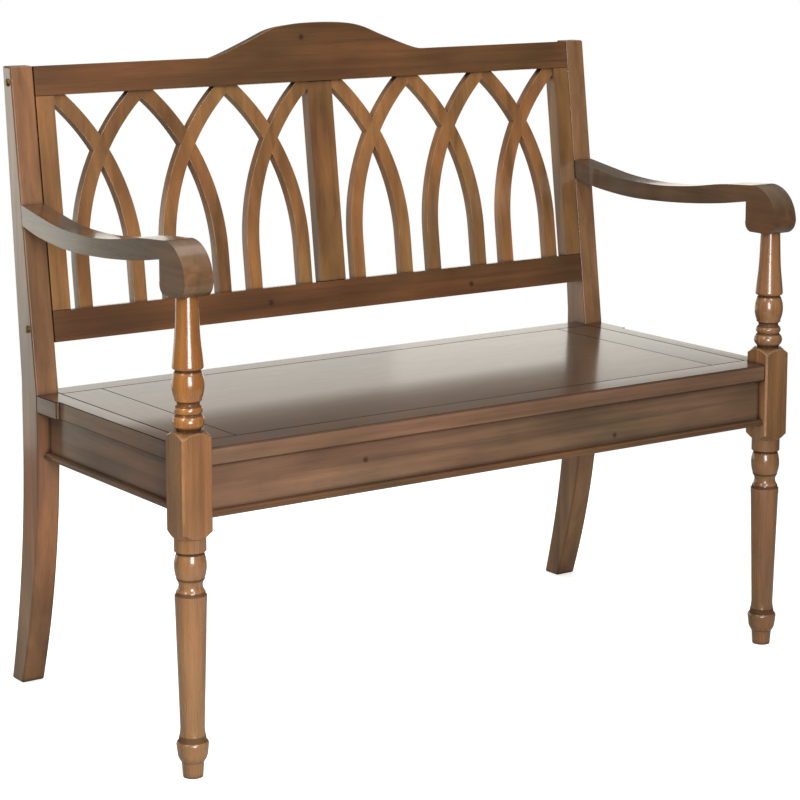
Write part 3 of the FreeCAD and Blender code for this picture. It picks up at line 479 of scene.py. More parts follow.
def curve(points, steps):
    """A smooth line through points, as Catmull-Rom spans, after the first one."""
    spots = [Vector(p) for p in points]
    line = [2 * spots[0] - spots[1]] + spots + [2 * spots[-1] - spots[-2]]
    made = []
    for n in range(1, len(line) - 2):
        before, a, b, after = line[n - 1 : n + 3]
        for step in range(1, steps + 1):
            t = step / steps
            made.append(
                0.5 * (2 * a + (b - before) * t + (2 * before - 5 * a + 4 * b - after) * t**2
                       + (3 * a - before - 3 * b + after) * t**3)
            )
    return made


def outline(first, steps, arc_steps=12, curve_steps=6):
    """A line of points: a plain step is a corner, two in a list an arc, more a curve."""
    line = [Vector(first)]
    for step in steps:
        if not isinstance(step, list):
            line.append(Vector(step))
        elif len(step) == 2:
            line += arc(line[-1], step[0], step[1], arc_steps)
        else:
            line += curve([line[-1]] + step, curve_steps)
    return line


def sawn(bm, line, push, plane):
    """A flat outline in mm, set in a plane and pushed to its thickness."""
    verts = [bm.verts.new(plane(point * MM)) for point in line]
    face = bm.faces.new(verts)
    made = bmesh.ops.extrude_face_region(bm, geom=[face])["geom"]
    moved = [item for item in made if isinstance(item, bmesh.types.BMVert)]
    bmesh.ops.translate(bm, verts=moved, vec=push)
    bmesh.ops.recalc_face_normals(bm, faces=bm.faces)


def lathe(bm, line, centre, axis=(0, 0, 1)):
    """Spins a line of radius and height pairs, in mm, and sets it on a centre along an axis."""
    verts = [bm.verts.new(Vector((point.x, 0, point.y)) * MM) for point in line]
    edges = [bm.edges.new(pair) for pair in zip(verts, verts[1:])]
    bmesh.ops.spin(bm, geom=verts + edges, cent=(0, 0, 0), axis=(0, 0, 1), angle=math.tau,
                   steps=ROUND_STEPS, use_merge=True)
    bmesh.ops.remove_doubles(bm, verts=[v for v in bm.verts if not v.tag], dist=0.01 * MM)
    fresh = [v for v in bm.verts if not v.tag]
    turn = Vector((0, 0, 1)).rotation_difference(Vector(axis)).to_matrix().to_4x4()
    bmesh.ops.transform(bm, matrix=Matrix.Translation(centre) @ turn, verts=fresh)
    for vert in fresh:
        vert.tag = True
    bmesh.ops.recalc_face_normals(bm, faces=bm.faces)


def finish_piece(bm, name, nodes, kind, along, matrix=None, second=None, tone=None):
    """Makes the object: its place in its mesh, smooth faces, materials and body.

    The second finish is a kind and a test that picks its faces. A piece's tone is how light
    its stain took, from 0 to 1; on the front legs it is painted light and shade, the left leg lit and the
    right shaded.
    """
    if matrix:
        bmesh.ops.transform(bm, matrix=matrix, verts=bm.verts)
    bmesh.ops.recalc_face_normals(bm, faces=bm.faces)
    if tone is None:
        tone = random.Random(name).random()
    layer = bm.faces.layers.float["tone"]
    for face in bm.faces:
        face[layer] = tone
        face.smooth = True
        if second and second[1](face):
            face.material_index = 1
    mesh = bpy.data.meshes.new(name)
    bm.to_mesh(mesh)
    bm.free()
    mesh.set_sharp_from_angle(angle=SMOOTH_UP_TO)
    piece = bpy.data.objects.new(name, mesh)
    bpy.context.scene.collection.objects.link(piece)
    weigh = piece.modifiers.new("weighted normals", "WEIGHTED_NORMAL")
    weigh.keep_sharp = True
    mesh.materials.append(material_for(kind, along))
    if second:
        mesh.materials.append(material_for(second[0], along))
    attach(piece, "root")
    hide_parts(*nodes)
    return piece


def is_edge(face):
    """Picks the faces round a board, not its top and underside."""
    return abs(face.normal.z) < 0.6


def everywhere(middle):
    """A joint test for boards that are fitted all round."""
    return True


SEAT_EDGE = ("walnut_apron", is_edge)


def board(node, slot, kind, along, corners=None, matrix=None, joint=None, nose=None, tongue=None):
    """One planed board.

    The joint and nose tests pick edges by their middle: fitted ones, and those with a larger
    rounding. A tongue is a second box, let into the neighbouring pieces.
    """
    bm = start()
    box(bm, *(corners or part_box(node)))
    if nose:
        picked = [e for e in bm.edges if nose((e.verts[0].co + e.verts[1].co) / 2)]
        soften(bm, picked, sizes().seat_nose, 4, NOSE_DARKER)
    if joint:
        soften_joined(bm, sharp_edges(bm, 50), sizes().arris, joint)
    else:
        soften(bm, sharp_edges(bm, 50), sizes().arris)
    if tongue:
        fresh = box(bm, *tongue)
        edges = {edge for vert in fresh for edge in vert.link_edges}
        soften(bm, edges, SEAM_ROUND, 1, PLAIN)
    second = SEAT_EDGE if kind == "walnut_seat" else None
    return finish_piece(bm, f"{node}_board", [node], kind, along, matrix, second)


# ---------------------------------------------------------------- turned front legs

# From the floor up: radius and height in mm. Two points in a list are an arc.
LOWER_TURNING = [
    (13.6, 0),
    (15.2, 21),
    [(18.8, 26.5), (20.6, 34)],
    (21.8, 44),
    [(21.2, 48.6), (18.7, 51)],
    (18.2, 56),
    [(16.9, 63), (16.6, 73)],
    (21.2, 240),
    (21.6, 244),
    (21.6, 251),
    (19.7, 252.5),
    (19.7, 256),
    [(16.1, 264.5), (19.1, 273)],
    (19.2, 275),
    [(21.8, 291), (19.2, 307)],
    (18.3, 308.5),
    (21.6, 311.5),
    (21.6, 334),
]
UPPER_TURNING = [
    (18.6, 470),
    (16.4, 474.5),
    (17.2, 477),
    [(21.6, 486), (17.4, 494.5)],
    (16.6, 496),
    [(19, 501.5), (15.8, 507)],
    (15, 509),
    (15.2, 511.5),
    (18.2, 514),
    (18.4, 517),
    [(21.8, 534.5), (18.4, 551.5)],
    (16.8, 553.5),
    (16.9, 555),
    [(20.3, 556.8), (21, 560)],
    [(19.6, 575), (16.8, 605), (15, 652.6)],
]
# Heights between which the dark glaze lies in the turned grooves, in mm
GROOVES = [(20.5, 22.5), (49.5, 57), (250.8, 256.5), (271.5, 276), (305.5, 311), (470, 478), (493.5, 497),
           (505.5, 514), (550.5, 556)]
BLOCK = (330 * MM, 474 * MM)
BLOCK_HALF = 23 * MM
BLOCK_CHAMFER = 2.6 * MM
# The cone that turns the block's shoulders: radius and height in mm, from the block's two ends
CONE_BOTTOM = [(0, -1), (21.4, -1), (34, 11.5)]
CONE_TOP = [(34, -12), (18.8, 1), (0, 1)]
# The left leg is painted lighter than the right, and its spindle lighter and more orange still: painted
# light, where the left leg is lit more than the right
LEFT_LEG_PAINTED_LIGHT_TONE = 0.85
RIGHT_LEG_PAINTED_SHADE_TONE = 0.5


def above_block(face):
    """Picks the spindle's faces."""
    return face.calc_center_median().z > BLOCK[1]


def turned_part(bm, table, x):
    """One turned length, closed at both ends."""
    line = outline(table[0], table[1:], arc_steps=10, curve_steps=5)
    ends = [Vector((0, line[0].y))] + line + [Vector((0, line[-1].y))]
    lathe(bm, ends, (x, LEG_Y, 0))
    worn = bm.faces.layers.float["arris"]
    for face in bm.faces:
        height = face.calc_center_median().z / MM
        if any(bottom < height < top for bottom, top in GROOVES):
            face[worn] = GROOVE_GRIME


def shouldered_block(x):
    """The square block with its shoulders turned to a cone at top and bottom."""
    block = start()
    half = BLOCK_HALF
    box(block, (x - half, LEG_Y - half, BLOCK[0]), (x + half, LEG_Y + half, BLOCK[1]))
    upright = [e for e in block.edges if abs(e.verts[0].co.z - e.verts[1].co.z) > half]
    soften(block, upright, BLOCK_CHAMFER, 1)
    cone = start()
    bottom, top = (n / MM for n in BLOCK)
    line = [Vector((radius, bottom + rise)) for radius, rise in CONE_BOTTOM]
    line += [Vector((radius, top + rise)) for radius, rise in CONE_TOP]
    lathe(cone, line, (x, LEG_Y, 0))
    pieces = []
    for bm, name in ((block, "block"), (cone, "cone")):
        bmesh.ops.recalc_face_normals(bm, faces=bm.faces)
        mesh = bpy.data.meshes.new(name)
        bm.to_mesh(mesh)
        bm.free()
        pieces.append(bpy.data.objects.new(name, mesh))
        bpy.context.scene.collection.objects.link(pieces[-1])
    meet = pieces[0].modifiers.new("turned shoulders", "BOOLEAN")
    meet.operation = "INTERSECT"
    meet.object = pieces[1]
    bpy.context.view_layer.update()
    graph = bpy.context.evaluated_depsgraph_get()
    shaped = bpy.data.meshes.new_from_object(pieces[0].evaluated_get(graph))
    for piece in pieces:
        bpy.data.objects.remove(piece)
    return shaped


class PEW_OT_front_legs(bpy.types.Operator):
    """Turns the two front legs, each in one piece with its spindle"""

    bl_idname = "pew.front_legs"
    bl_label = "Front Legs"

    def execute(self, context):
        for name, side in SIDES:
            bm = start()
            turned_part(bm, LOWER_TURNING, side * LEG_X)
            turned_part(bm, UPPER_TURNING, side * LEG_X)
            bm.from_mesh(shouldered_block(side * LEG_X))
            node = f"front_leg_{name}"
            # Painted light: the left spindle alone gets the lighter, more orange stain, and the left leg a
            # lighter tone than the right
            lit_spindle = ("walnut_spindle_painted_light", above_block) if side < 0 else None
            tone = LEFT_LEG_PAINTED_LIGHT_TONE if side < 0 else RIGHT_LEG_PAINTED_SHADE_TONE
            finish_piece(bm, f"{node}_turned", [node], "walnut_turned", "Z",
                         second=lit_spindle, tone=tone)
        return {"FINISHED"}


# ---------------------------------------------------------------- rear legs

# All in mm. The sabre curves start at the knee and sweep back to the floor; above it the leg
# stands plumb to the seat in front and to the bend behind, then leans
KNEE = 400
SEAT_HIGH = 450
BEND_HIGH = 470
KNEE_DEEP = 49
TOP_DEEP = 25
FRONT_SWEEP = 69
REAR_SWEEP = 54
# The posts' edges are rounded this many times as much as the common arris
POST_ARRIS = 2.3


def sabre(sweep):
    """How far back a sabre curve has gone half way down, for its sweep at the floor."""
    bend = (KNEE**2 + sweep**2) / (2 * sweep)
    return bend - math.sqrt(bend**2 - (KNEE / 2) ** 2)


class PEW_OT_rear_legs(bpy.types.Operator):
    """Saws the two rear legs, each with its leaning post"""

    bl_idname = "pew.rear_legs"
    bl_label = "Rear Legs"

    def execute(self, context):
        top = POST_TOP / MM
        lean_top = (top - SEAT_HIGH) * math.tan(LEAN)
        line = outline(
            (FRONT_SWEEP, 0),
            [
                [(sabre(FRONT_SWEEP), KNEE / 2), (0, KNEE)],
                (0, SEAT_HIGH),
                (lean_top, top),
                (lean_top + TOP_DEEP, top),
                (KNEE_DEEP, BEND_HIGH),
                (KNEE_DEEP, KNEE),
                [(KNEE_DEEP + sabre(REAR_SWEEP), KNEE / 2), (KNEE_DEEP + REAR_SWEEP, 0)],
            ],
            arc_steps=28,
        )
        for name, side in SIDES:
            bm = start()
            left = min(side * POST_INNER, side * POST_OUTER)
            push = Vector((POST_OUTER - POST_INNER, 0, 0))
            sawn(bm, line, push, lambda p: Vector((left, POST_FRONT + p.x, p.y)))
            # The posts' rounded edges are painted darker, as a painted dark reflection
            soften(bm, sharp_edges(bm), sizes().arris * POST_ARRIS, 4, POST_EDGE_PAINTED_REFLECTION)
            node = f"rear_leg_{name}"
            finish_piece(bm, f"{node}_sawn", [node], "walnut_post", "Z")
        return {"FINISHED"}


# ---------------------------------------------------------------- arms


def post_face(height):
    """How far the posts' front face stands behind the leg's axis, in mm, at a height."""
    return (POST_FRONT - LEG_Y) / MM + (height - SEAT_HIGH) * math.tan(LEAN)


ARM_HALF = 21.5 * MM
# The arms' taper starts this far behind the leg's axis, and ends this far behind the posts' front
# face at the seat
DRUM_BACK = 33.5 * MM
TAPER_PAST = 60 * MM
# The arms' edges are rounded this many times as much as the common arris
ARM_ARRIS = 1.3
# From the leg's axis back, and up from the floor, in mm. The arm's underside, its end on the
# post, its top, then the drum. Two points in a list are an arc, more are a curve
ARM_LINE = [
    (22.5, 652),
    [(31, 657), (33.5, 669)],
    (33.5, 697.5),
    [(90, 689), (157, 682), (230, 677.5), (308, 676.5), (391, 683.5), (post_face(694), 694)],
    (post_face(724), 724),
    [(394, 714.5), (345, 707), (290, 703), (225, 703.5), (157, 709.5), (90, 719), (28, 723.5)],
    [(-14, 711.5), (-32, 679)],
    [(-28, 660), (-15, 652)],
]


def taper_arm(bm, side):
    """Brings an arm's two faces in from the drum's width to the post's."""
    back = POST_FRONT + TAPER_PAST
    drum = LEG_Y + DRUM_BACK
    for vert in bm.verts:
        share = min(max((vert.co.y - drum) / (back - drum), 0), 1)
        across = (vert.co.x - side * LEG_X) * side
        goal = POST_OUTER - LEG_X if across > 0 else POST_INNER - LEG_X
        across = math.copysign(ARM_HALF, across) * (1 - share) + goal * share
        vert.co.x = side * (LEG_X + across)


class PEW_OT_arms(bpy.types.Operator):
    """Saws the two swept arms with their rolled ends"""

    bl_idname = "pew.arms"
    bl_label = "Arms"

    def execute(self, context):
        line = outline(ARM_LINE[0], ARM_LINE[1:], arc_steps=14)
        at_post = LEG_Y + (post_face(694) - 2) * MM
        for name, side in SIDES:
            bm = start()
            left = side * LEG_X - ARM_HALF
            sawn(bm, line, Vector((2 * ARM_HALF, 0, 0)), lambda p: Vector((left, LEG_Y + p.x, p.y)))
            taper_arm(bm, side)
            soften_joined(bm, sharp_edges(bm), sizes().arris * ARM_ARRIS, lambda middle: middle.y > at_post)
            finish_piece(bm, f"arm_{name}_swept", [f"arm_{name}"], "walnut_arm", "Y")
        return {"FINISHED"}


# ---------------------------------------------------------------- aprons and beads

TENON = 12 * MM
TENON_HALF = 4 * MM
# How far the tongue starts above the apron's bottom edge and ends below its top edge
TENON_ABOVE = 14 * MM
TENON_BELOW = 12 * MM
# The rounding of a bead's nose, as a share of the bead's height
BEAD_ROUND = 0.46


class PEW_OT_aprons(bpy.types.Operator):
    """Planes the four aprons with the tongues that reach into the legs"""

    bl_idname = "pew.aprons"
    bl_label = "Aprons"

    def execute(self, context):
        for node in ("front_apron", "rear_apron"):
            self.apron(node, "X", 0, 1)
        for name, _ in SIDES:
            self.apron(f"side_apron_{name}", "Y", 1, 0)
        return {"FINISHED"}

    def apron(self, node, along, run, across):
        """A board from shoulder to shoulder, and its tongue from tenon end to tenon end."""
        first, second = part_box(node)
        middle = (first + second) / 2
        near, far = first.copy(), second.copy()
        near[run] += TENON
        far[run] -= TENON
        ends = [first + Vector((0, 0, TENON_ABOVE)), second - Vector((0, 0, TENON_BELOW))]
        ends[0][across] = middle[across] - TENON_HALF
        ends[1][across] = middle[across] + TENON_HALF

        def joint(spot):
            at_shoulder = abs(spot[run] - middle[run]) > (far[run] - middle[run]) * 0.99
            return at_shoulder or spot.z > far.z - MM

        board(node, "frame_wood", "walnut_apron", along, (near, far), joint=joint, tongue=ends)


def bead(node, along, run, across, outward):
    """A bead with a round nose, run along an apron's bottom edge."""
    bm = start()
    first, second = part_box(node)
    box(bm, first, second)
    nose = (second if outward > 0 else first)[across]

    def at_nose(edge):
        one, other = (vert.co for vert in edge.verts)
        is_long = abs(one[run] - other[run]) > (second[run] - first[run]) / 2
        return is_long and abs((one[across] + other[across]) / 2 - nose) < 0.1 * MM

    tall = (second - first).z
    soften(bm, [e for e in bm.edges if at_nose(e)], tall * BEAD_ROUND, 5, PLAIN)
    soften(bm, sharp_edges(bm, 60), 0.5 * MM, 1, BEAD_GRIME)
    finish_piece(bm, f"{node}_run", [node], "walnut_board", along)


class PEW_OT_beads(bpy.types.Operator):
    """Runs the beads under the front and side aprons"""

    bl_idname = "pew.beads"
    bl_label = "Beads"

    def execute(self, context):
        bead("front_bead", "X", 0, 1, -1)
        for name, side in SIDES:
            bead(f"side_bead_{name}", "Y", 1, 0, side)
        return {"FINISHED"}


# ---------------------------------------------------------------- seat

# Across from the middle, in mm: an end board's inner edge, its outer edge and, behind the step,
# its edge beside the post. The step is this far in front of the post
END_INNER = 493
END_OUTER = 522
END_BEHIND = 528
END_STEP = 60
# Between the centre panel's shoulders and the cleats
CLEAT_GAP = 0.2 * MM


class PEW_OT_seat(bpy.types.Operator):
    """Planes the seat's strips, end boards, cleats and centre panel"""

    bl_idname = "pew.seat"
    bl_label = "Seat"

    def execute(self, context):
        front = low("seat_front_strip").y

        def nose(middle):
            return abs(middle.y - front) < MM and abs(middle.x) < MM

        def not_nose(middle):
            return middle.y > front + 5 * MM or abs(middle.x) > MM

        board("seat_front_strip", "seat_wood", "walnut_seat", "X", nose=nose, joint=not_nose)
        board("seat_rear_strip", "seat_wood", "walnut_seat", "X", joint=everywhere)
        first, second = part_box("seat_centre_panel")
        reach = low("seat_cleat_right").x - CLEAT_GAP
        corners = ((-reach, first.y, first.z), (reach, second.y, second.z))
        third = (second.z - first.z) / 3
        tongue = ((first.x, first.y + MM, first.z + third), (second.x, second.y - MM, second.z - third))
        board("seat_centre_panel", "seat_wood", "walnut_seat", "X", corners,
              joint=everywhere, tongue=tongue)
        for name, side in SIDES:
            board(f"seat_cleat_{name}", "seat_wood", "walnut_seat", "Y", joint=everywhere)
            end_board(name, side)
        return {"FINISHED"}


def end_board(name, side):
    """The board between leg block and post, a little wider beside the post."""
    node = f"seat_end_{name}"
    first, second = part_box(node)
    near, far = ((y - LEG_Y) / MM for y in (first.y, second.y))
    step = (POST_FRONT - LEG_Y) / MM - END_STEP
    corners = [(END_OUTER, near), (END_OUTER, step), (END_BEHIND, step), (END_BEHIND, far), (END_INNER, far)]
    line = outline((END_INNER, near), corners)
    bm = start()
    push = Vector((0, 0, second.z - first.z))
    sawn(bm, line, push, lambda p: Vector((side * p.x, LEG_Y + p.y, first.z)))
    soften(bm, sharp_edges(bm), SEAM_ROUND, 2, SEAM_GRIME)
    finish_piece(bm, f"{node}_board", [node], "walnut_seat", "Y", second=SEAT_EDGE)


# ---------------------------------------------------------------- under the seat

# A batten's stub tenons: their length, and how much narrower they are on each side
BATTEN_STUB = 8 * MM
BATTEN_SHOULDER = 7.5 * MM
# The length of a corner block along each apron, in mm
CORNER_LEG = 50


def corner_block(node, side, inward):
    """A three-sided block with its two legs on two aprons."""
    first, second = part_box(node)
    corner_x = (second if side > 0 else first).x / MM
    corner_y = (first if inward > 0 else second).y / MM
    feet = [(corner_x - side * CORNER_LEG, corner_y), (corner_x, corner_y + inward * CORNER_LEG)]
    bm = start()
    push = Vector((0, 0, second.z - first.z))
    sawn(bm, outline((corner_x, corner_y), feet), push, lambda p: Vector((p.x, p.y, first.z)))
    soften(bm, sharp_edges(bm), 0.8 * MM)
    finish_piece(bm, f"{node}_wedge", [node], "bare_pine", "X")


class PEW_OT_bearers(bpy.types.Operator):
    """Makes the battens and corner blocks under the seat"""

    bl_idname = "pew.bearers"
    bl_label = "Bearers"

    def execute(self, context):
        for name, side in SIDES:
            first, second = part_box(f"seat_batten_{name}")
            stub = Vector((0, BATTEN_STUB, 0))
            reach = Vector((BATTEN_SHOULDER, 0, (second.z - first.z) / 4))
            board(f"seat_batten_{name}", "inner_wood", "bare_pine", "Y", (first + stub, second - stub),
                  tongue=(first + reach, second - reach))
            for end, inward in (("front", 1), ("rear", -1)):
                corner_block(f"corner_block_{end}_{name}", side, inward)
        return {"FINISHED"}


# ---------------------------------------------------------------- back frame


def at_rail_end(middle):
    """Where a rail meets a post."""
    return abs(middle.x) > POST_INNER - MM


def at_frame_joint(middle):
    """Where a stile or the muntin meets a post or a rail."""
    on_rail = middle.z < LOW_RAIL[1] + MM or middle.z > TOP_RAIL[0] - MM
    return on_rail or at_rail_end(middle)


# The crest's two sides: shares of its reach and of its rise
CREST_SHARES = ((0.91, 0.03), (0.78, 0.21), (0.585, 0.53), (0.4, 0.84), (0.22, 0.965))


class PEW_OT_back_frame(bpy.types.Operator):
    """Makes the crested top rail, the bottom rail, the stiles and the muntin"""

    bl_idname = "pew.back_frame"
    bl_label = "Back Frame"

    def execute(self, context):
        self.top_rail()
        corners = ((-POST_INNER, 0, LOW_RAIL[0]), (POST_INNER, FRAME_THICK, LOW_RAIL[1]))
        board("back_bottom_rail", "frame_wood", "walnut_board", "X", corners, BACK, at_rail_end)
        for name, side in SIDES:
            corners = ((side * STILE_INNER, 0, LOW_RAIL[1]), (side * POST_INNER, FRAME_THICK, TOP_RAIL[0]))
            node = f"back_stile_{name}"
            board(node, "lattice_wood", "walnut_lattice", "Z", corners, BACK, at_frame_joint)
        corners = ((-MUNTIN_HALF, LATTICE_SETBACK, LOW_RAIL[1]), (MUNTIN_HALF, FRAME_THICK, TOP_RAIL[0]))
        board("back_muntin", "lattice_wood", "walnut_lattice", "Z", corners, BACK, at_frame_joint)
        return {"FINISHED"}

    def top_rail(self):
        """The rail between the posts, with its crest in the middle."""
        end = POST_INNER / MM
        under, shoulder = (n / MM for n in TOP_RAIL)
        hump = CREST_RISE / MM - shoulder
        reach = CREST_REACH / MM
        half = [(reach * share, shoulder + hump * lift) for share, lift in CREST_SHARES]
        crest = [(-x, z) for x, z in half] + [(0, shoulder + hump)] + half[::-1] + [(reach, shoulder)]
        steps = [(-end, shoulder), (-reach, shoulder), crest, (end, shoulder), (end, under)]
        line = outline((-end, under), steps)
        bm = start()
        sawn(bm, line, Vector((0, FRAME_THICK, 0)), lambda p: Vector((p.x, 0, p.y)))
        soften_joined(bm, sharp_edges(bm), sizes().arris, at_rail_end)
        nodes = ["back_top_rail"]
        finish_piece(bm, "back_top_rail_crested", nodes, "walnut_board", "X", BACK)


# ---------------------------------------------------------------- lattice

SLAT_DEPTH = (LATTICE_SETBACK, 20 * MM)
SLAT_FOOT = 45.5 * MM
SLAT_STRAIGHT = 179 * MM
SLAT_TURN = math.radians(56)
SLAT_STEPS = 36
# The falling slats stand this much behind the rising ones, so that no two faces share a plane
SLAT_BEHIND = 0.12 * MM


class PEW_OT_lattice(bpy.types.Operator):
    """Bends and crosses the twelve slats"""

    bl_idname = "pew.lattice"
    bl_label = "Lattice"

    def execute(self, context):
        pitch = (STILE_INNER - MUNTIN_HALF) / 3
        for number in range(6):
            step = number - 2.5
            middle = math.copysign(MUNTIN_HALF, step) + pitch * step
            for way, toward in (("rising", 1), ("falling", -1)):
                self.slat(f"lattice_slat_{number + 1}_{way}", middle, toward, pitch / 2)
        return {"FINISHED"}

    def slat(self, node, middle, toward, reach):
        """A straight foot, then a bend that leans to its end under the top rail."""
        half = sizes().slat_wide / 2
        bend = sizes().slat_bend
        foot = middle - toward * SLAT_FOOT
        behind = 0 if toward > 0 else SLAT_BEHIND
        bm = start()
        worn = bm.faces.layers.float["arris"]
        place = Matrix.Translation((foot, sum(SLAT_DEPTH) / 2 + behind, LOW_RAIL[1]))
        shape = Matrix.Diagonal((half, (SLAT_DEPTH[1] - SLAT_DEPTH[0]) / 2, 1, 1))
        bmesh.ops.create_grid(bm, x_segments=1, y_segments=1, size=1, matrix=place @ shape)
        bmesh.ops.bevel(bm, geom=list(bm.verts), offset=sizes().arris, offset_type="OFFSET", segments=2,
                        profile=0.5, affect="VERTICES", material=-1)
        made = bmesh.ops.extrude_face_region(bm, geom=bm.faces[:])["geom"]
        verts = [item for item in made if isinstance(item, bmesh.types.BMVert)]
        bmesh.ops.translate(bm, verts=verts, vec=(0, 0, SLAT_STRAIGHT - LOW_RAIL[1]))
        top = [item for item in made if isinstance(item, bmesh.types.BMFace)]
        bmesh.ops.spin(bm, geom=top, cent=(foot + toward * bend, 0, SLAT_STRAIGHT), axis=(0, 1, 0),
                       angle=SLAT_TURN * toward, steps=SLAT_STEPS)
        bmesh.ops.delete(bm, geom=[f for f in top if f.is_valid], context="FACES_ONLY")
        edge = middle + toward * reach
        for place, normal in (((0, 0, TOP_RAIL[0]), (0, 0, 1)), ((edge, 0, 0), (toward, 0, 0))):
            cut = bmesh.ops.bisect_plane(bm, geom=bm.verts[:] + bm.edges[:] + bm.faces[:], plane_co=place,
                                         plane_no=normal, clear_outer=True)
            rim = [item for item in cut["geom_cut"] if isinstance(item, bmesh.types.BMEdge)]
            bmesh.ops.holes_fill(bm, edges=rim)
        narrow = sizes().arris * 1.2
        for face in bm.faces:
            if face.calc_area() < narrow * 12 * MM and min(e.calc_length() for e in face.edges) < narrow:
                face[worn] = RUBBED
        finish_piece(bm, f"{node}_bent", [node], "walnut_lattice", "Z", BACK)


# ---------------------------------------------------------------- fastenings

# From inside the post out to the crown: radius and distance in mm
BOLT_LINE = [(0, -12), (3, -12), (3, 0), (5.6, 0), (5.6, 1.1), [(4.4, 2.2), (0, 2.6)]]
# From the tip back to the head: radius and distance in mm
SCREW_LINE = [(0, 0), (1.1, 3), (1.6, 3.6), (1.6, 18), (2, 18.6), (2, 29), (4, 30.4), (4, 31),
              (3.4, 33), (0, 33)]
SCREW_HEAD = 4 * MM
SLOT_HALF = 0.6 * MM
SLOT_DEEP = 0.8 * MM
# How far a corner block's screws stand from the tip of the screw that crosses them
SCREW_INSET = 32 * MM


def screw(bm, tip, way):
    """A wood screw from its tip back along a direction, with a slot sunk in its head."""
    before = set(bm.faces)
    lathe(bm, [Vector(point) for point in SCREW_LINE], tip, way)
    turn = Vector((0, 0, 1)).rotation_difference(Vector(way)).inverted()
    crown = [face for face in bm.faces if face not in before and face.normal.dot(Vector(way)) > 0.99]
    slot = [face for face in crown if abs((turn @ (face.calc_center_median() - Vector(tip))).x) < SLOT_HALF]
    sunk = bmesh.ops.extrude_face_region(bm, geom=slot)["geom"]
    verts = [item for item in sunk if isinstance(item, bmesh.types.BMVert)]
    bmesh.ops.translate(bm, verts=verts, vec=Vector(way) * -SLOT_DEEP)
    bmesh.ops.delete(bm, geom=[face for face in slot if face.is_valid], context="FACES")
    for vert in bm.verts:
        vert.tag = True


class PEW_OT_fastenings(bpy.types.Operator):
    """Makes the bolt heads on the posts and the screws under the seat"""

    bl_idname = "pew.fastenings"
    bl_label = "Fastenings"

    def execute(self, context):
        bm = start()
        dome = outline(BOLT_LINE[0], BOLT_LINE[1:], arc_steps=6)
        for _, side in SIDES:
            for rise in (sum(LOW_RAIL) / 2, sum(TOP_RAIL) / 2):
                spot = BACK @ Vector((side * POST_OUTER, FRAME_THICK / 2, rise))
                lathe(bm, dome, spot, (side, 0, 0))
        finish_piece(bm, "back_bolts_domed", ["back_bolts"], "bronzed_steel", "Z")
        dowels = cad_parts["arm_dowels"].data
        dowels.materials.clear()
        dowels.materials.append(material_for("bare_pine", "Y"))
        self.seat_screws()
        self.corner_screws()
        return {"FINISHED"}

    def seat_screws(self):
        """Three screws up through each batten into the seat panel."""
        bm = start()
        tip = high("seat_screws").z
        first = low("seat_screws").y + SCREW_HEAD
        last = high("seat_screws").y - SCREW_HEAD
        for _, side in SIDES:
            x = side * (high("seat_screws").x - SCREW_HEAD)
            for y in (first, (first + last) / 2, last):
                screw(bm, (x, y, tip), (0, 0, -1))
        finish_piece(bm, "seat_screws_turned", ["seat_screws"], "bronzed_steel", "Z")

    def corner_screws(self):
        """Two screws through each corner block, one into each apron."""
        bm = start()
        first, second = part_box("corner_block_screws")
        for _, side in SIDES:
            for y, inward in ((first.y, 1), (second.y, -1)):
                inset = SCREW_INSET * inward
                screw(bm, (side * second.x, y + inset, first.z + SCREW_HEAD), (-side, 0, 0))
                screw(bm, (side * (second.x - SCREW_INSET), y, second.z - SCREW_HEAD), (0, inward, 0))
        nodes = ["corner_block_screws"]
        finish_piece(bm, "corner_block_screws_turned", nodes, "bronzed_steel", "Z")


# ---------------------------------------------------------------- stage

FLOOR_HALF = 1.8
FLOOR_DROP = 0.5 * MM
FLOOR_FADE = (1.0, 1.7)
SENSOR = 36
LENS_SHIFT = -0.1586
WHITE = "#FFFFFF"
WARM = "#FFFAEE"
ALL_ROUND = 180
# Name, place, aim, width, height, power in watts, colour and spread in degrees
LIGHTS = (
    ("left_strip", (-2.55, -0.6, 2.9), (-0.2, 0, 0.5), 0.45, 1.5, 30, WHITE, ALL_ROUND),
    ("right_strip", (-0.3, -2.6, 2.9), (0, 0, 0.5), 0.45, 1.5, 34, WHITE, ALL_ROUND),
    ("front_box", (-1.0, -2.05, 0.85), (-0.4, 0, 0.5), 0.7, 1.0, 41, WHITE, ALL_ROUND),
    ("top_box", (0.2, 0.1, 3.4), (0, 0, 0.3), 2.4, 2.4, 26, WHITE, ALL_ROUND),
    ("left_panel", (-1.27, 1.9, 0.5), (-0.5, 0.17, 0.6), 0.3, 1.1, 0.105, "#F8FCF0", 32),
    ("backdrop_left", (0.15, 1.9, 0.54), (0.15, 0, 0.54), 2.3, 0.95, 8.0, WARM, ALL_ROUND),
    ("backdrop_right", (2.4, 1.9, 0.54), (2.4, 0, 0.54), 2.2, 0.95, 10, WARM, ALL_ROUND),
)


def glow(name, place, aim, width, height, power, tint, spread):
    """One soft box, aimed at a point and hidden from the camera."""
    lamp = bpy.data.lights.new(name, "AREA")
    lamp.shape = "RECTANGLE"
    lamp.size = width
    lamp.size_y = height
    lamp.energy = power
    lamp.color = linear(tint)[:3]
    lamp.spread = math.radians(spread)
    item = bpy.data.objects.new(name, lamp)
    item.location = place
    item.rotation_euler = (Vector(aim) - Vector(place)).to_track_quat("-Z", "Y").to_euler()
    item.visible_camera = False
    bpy.context.scene.collection.objects.link(item)


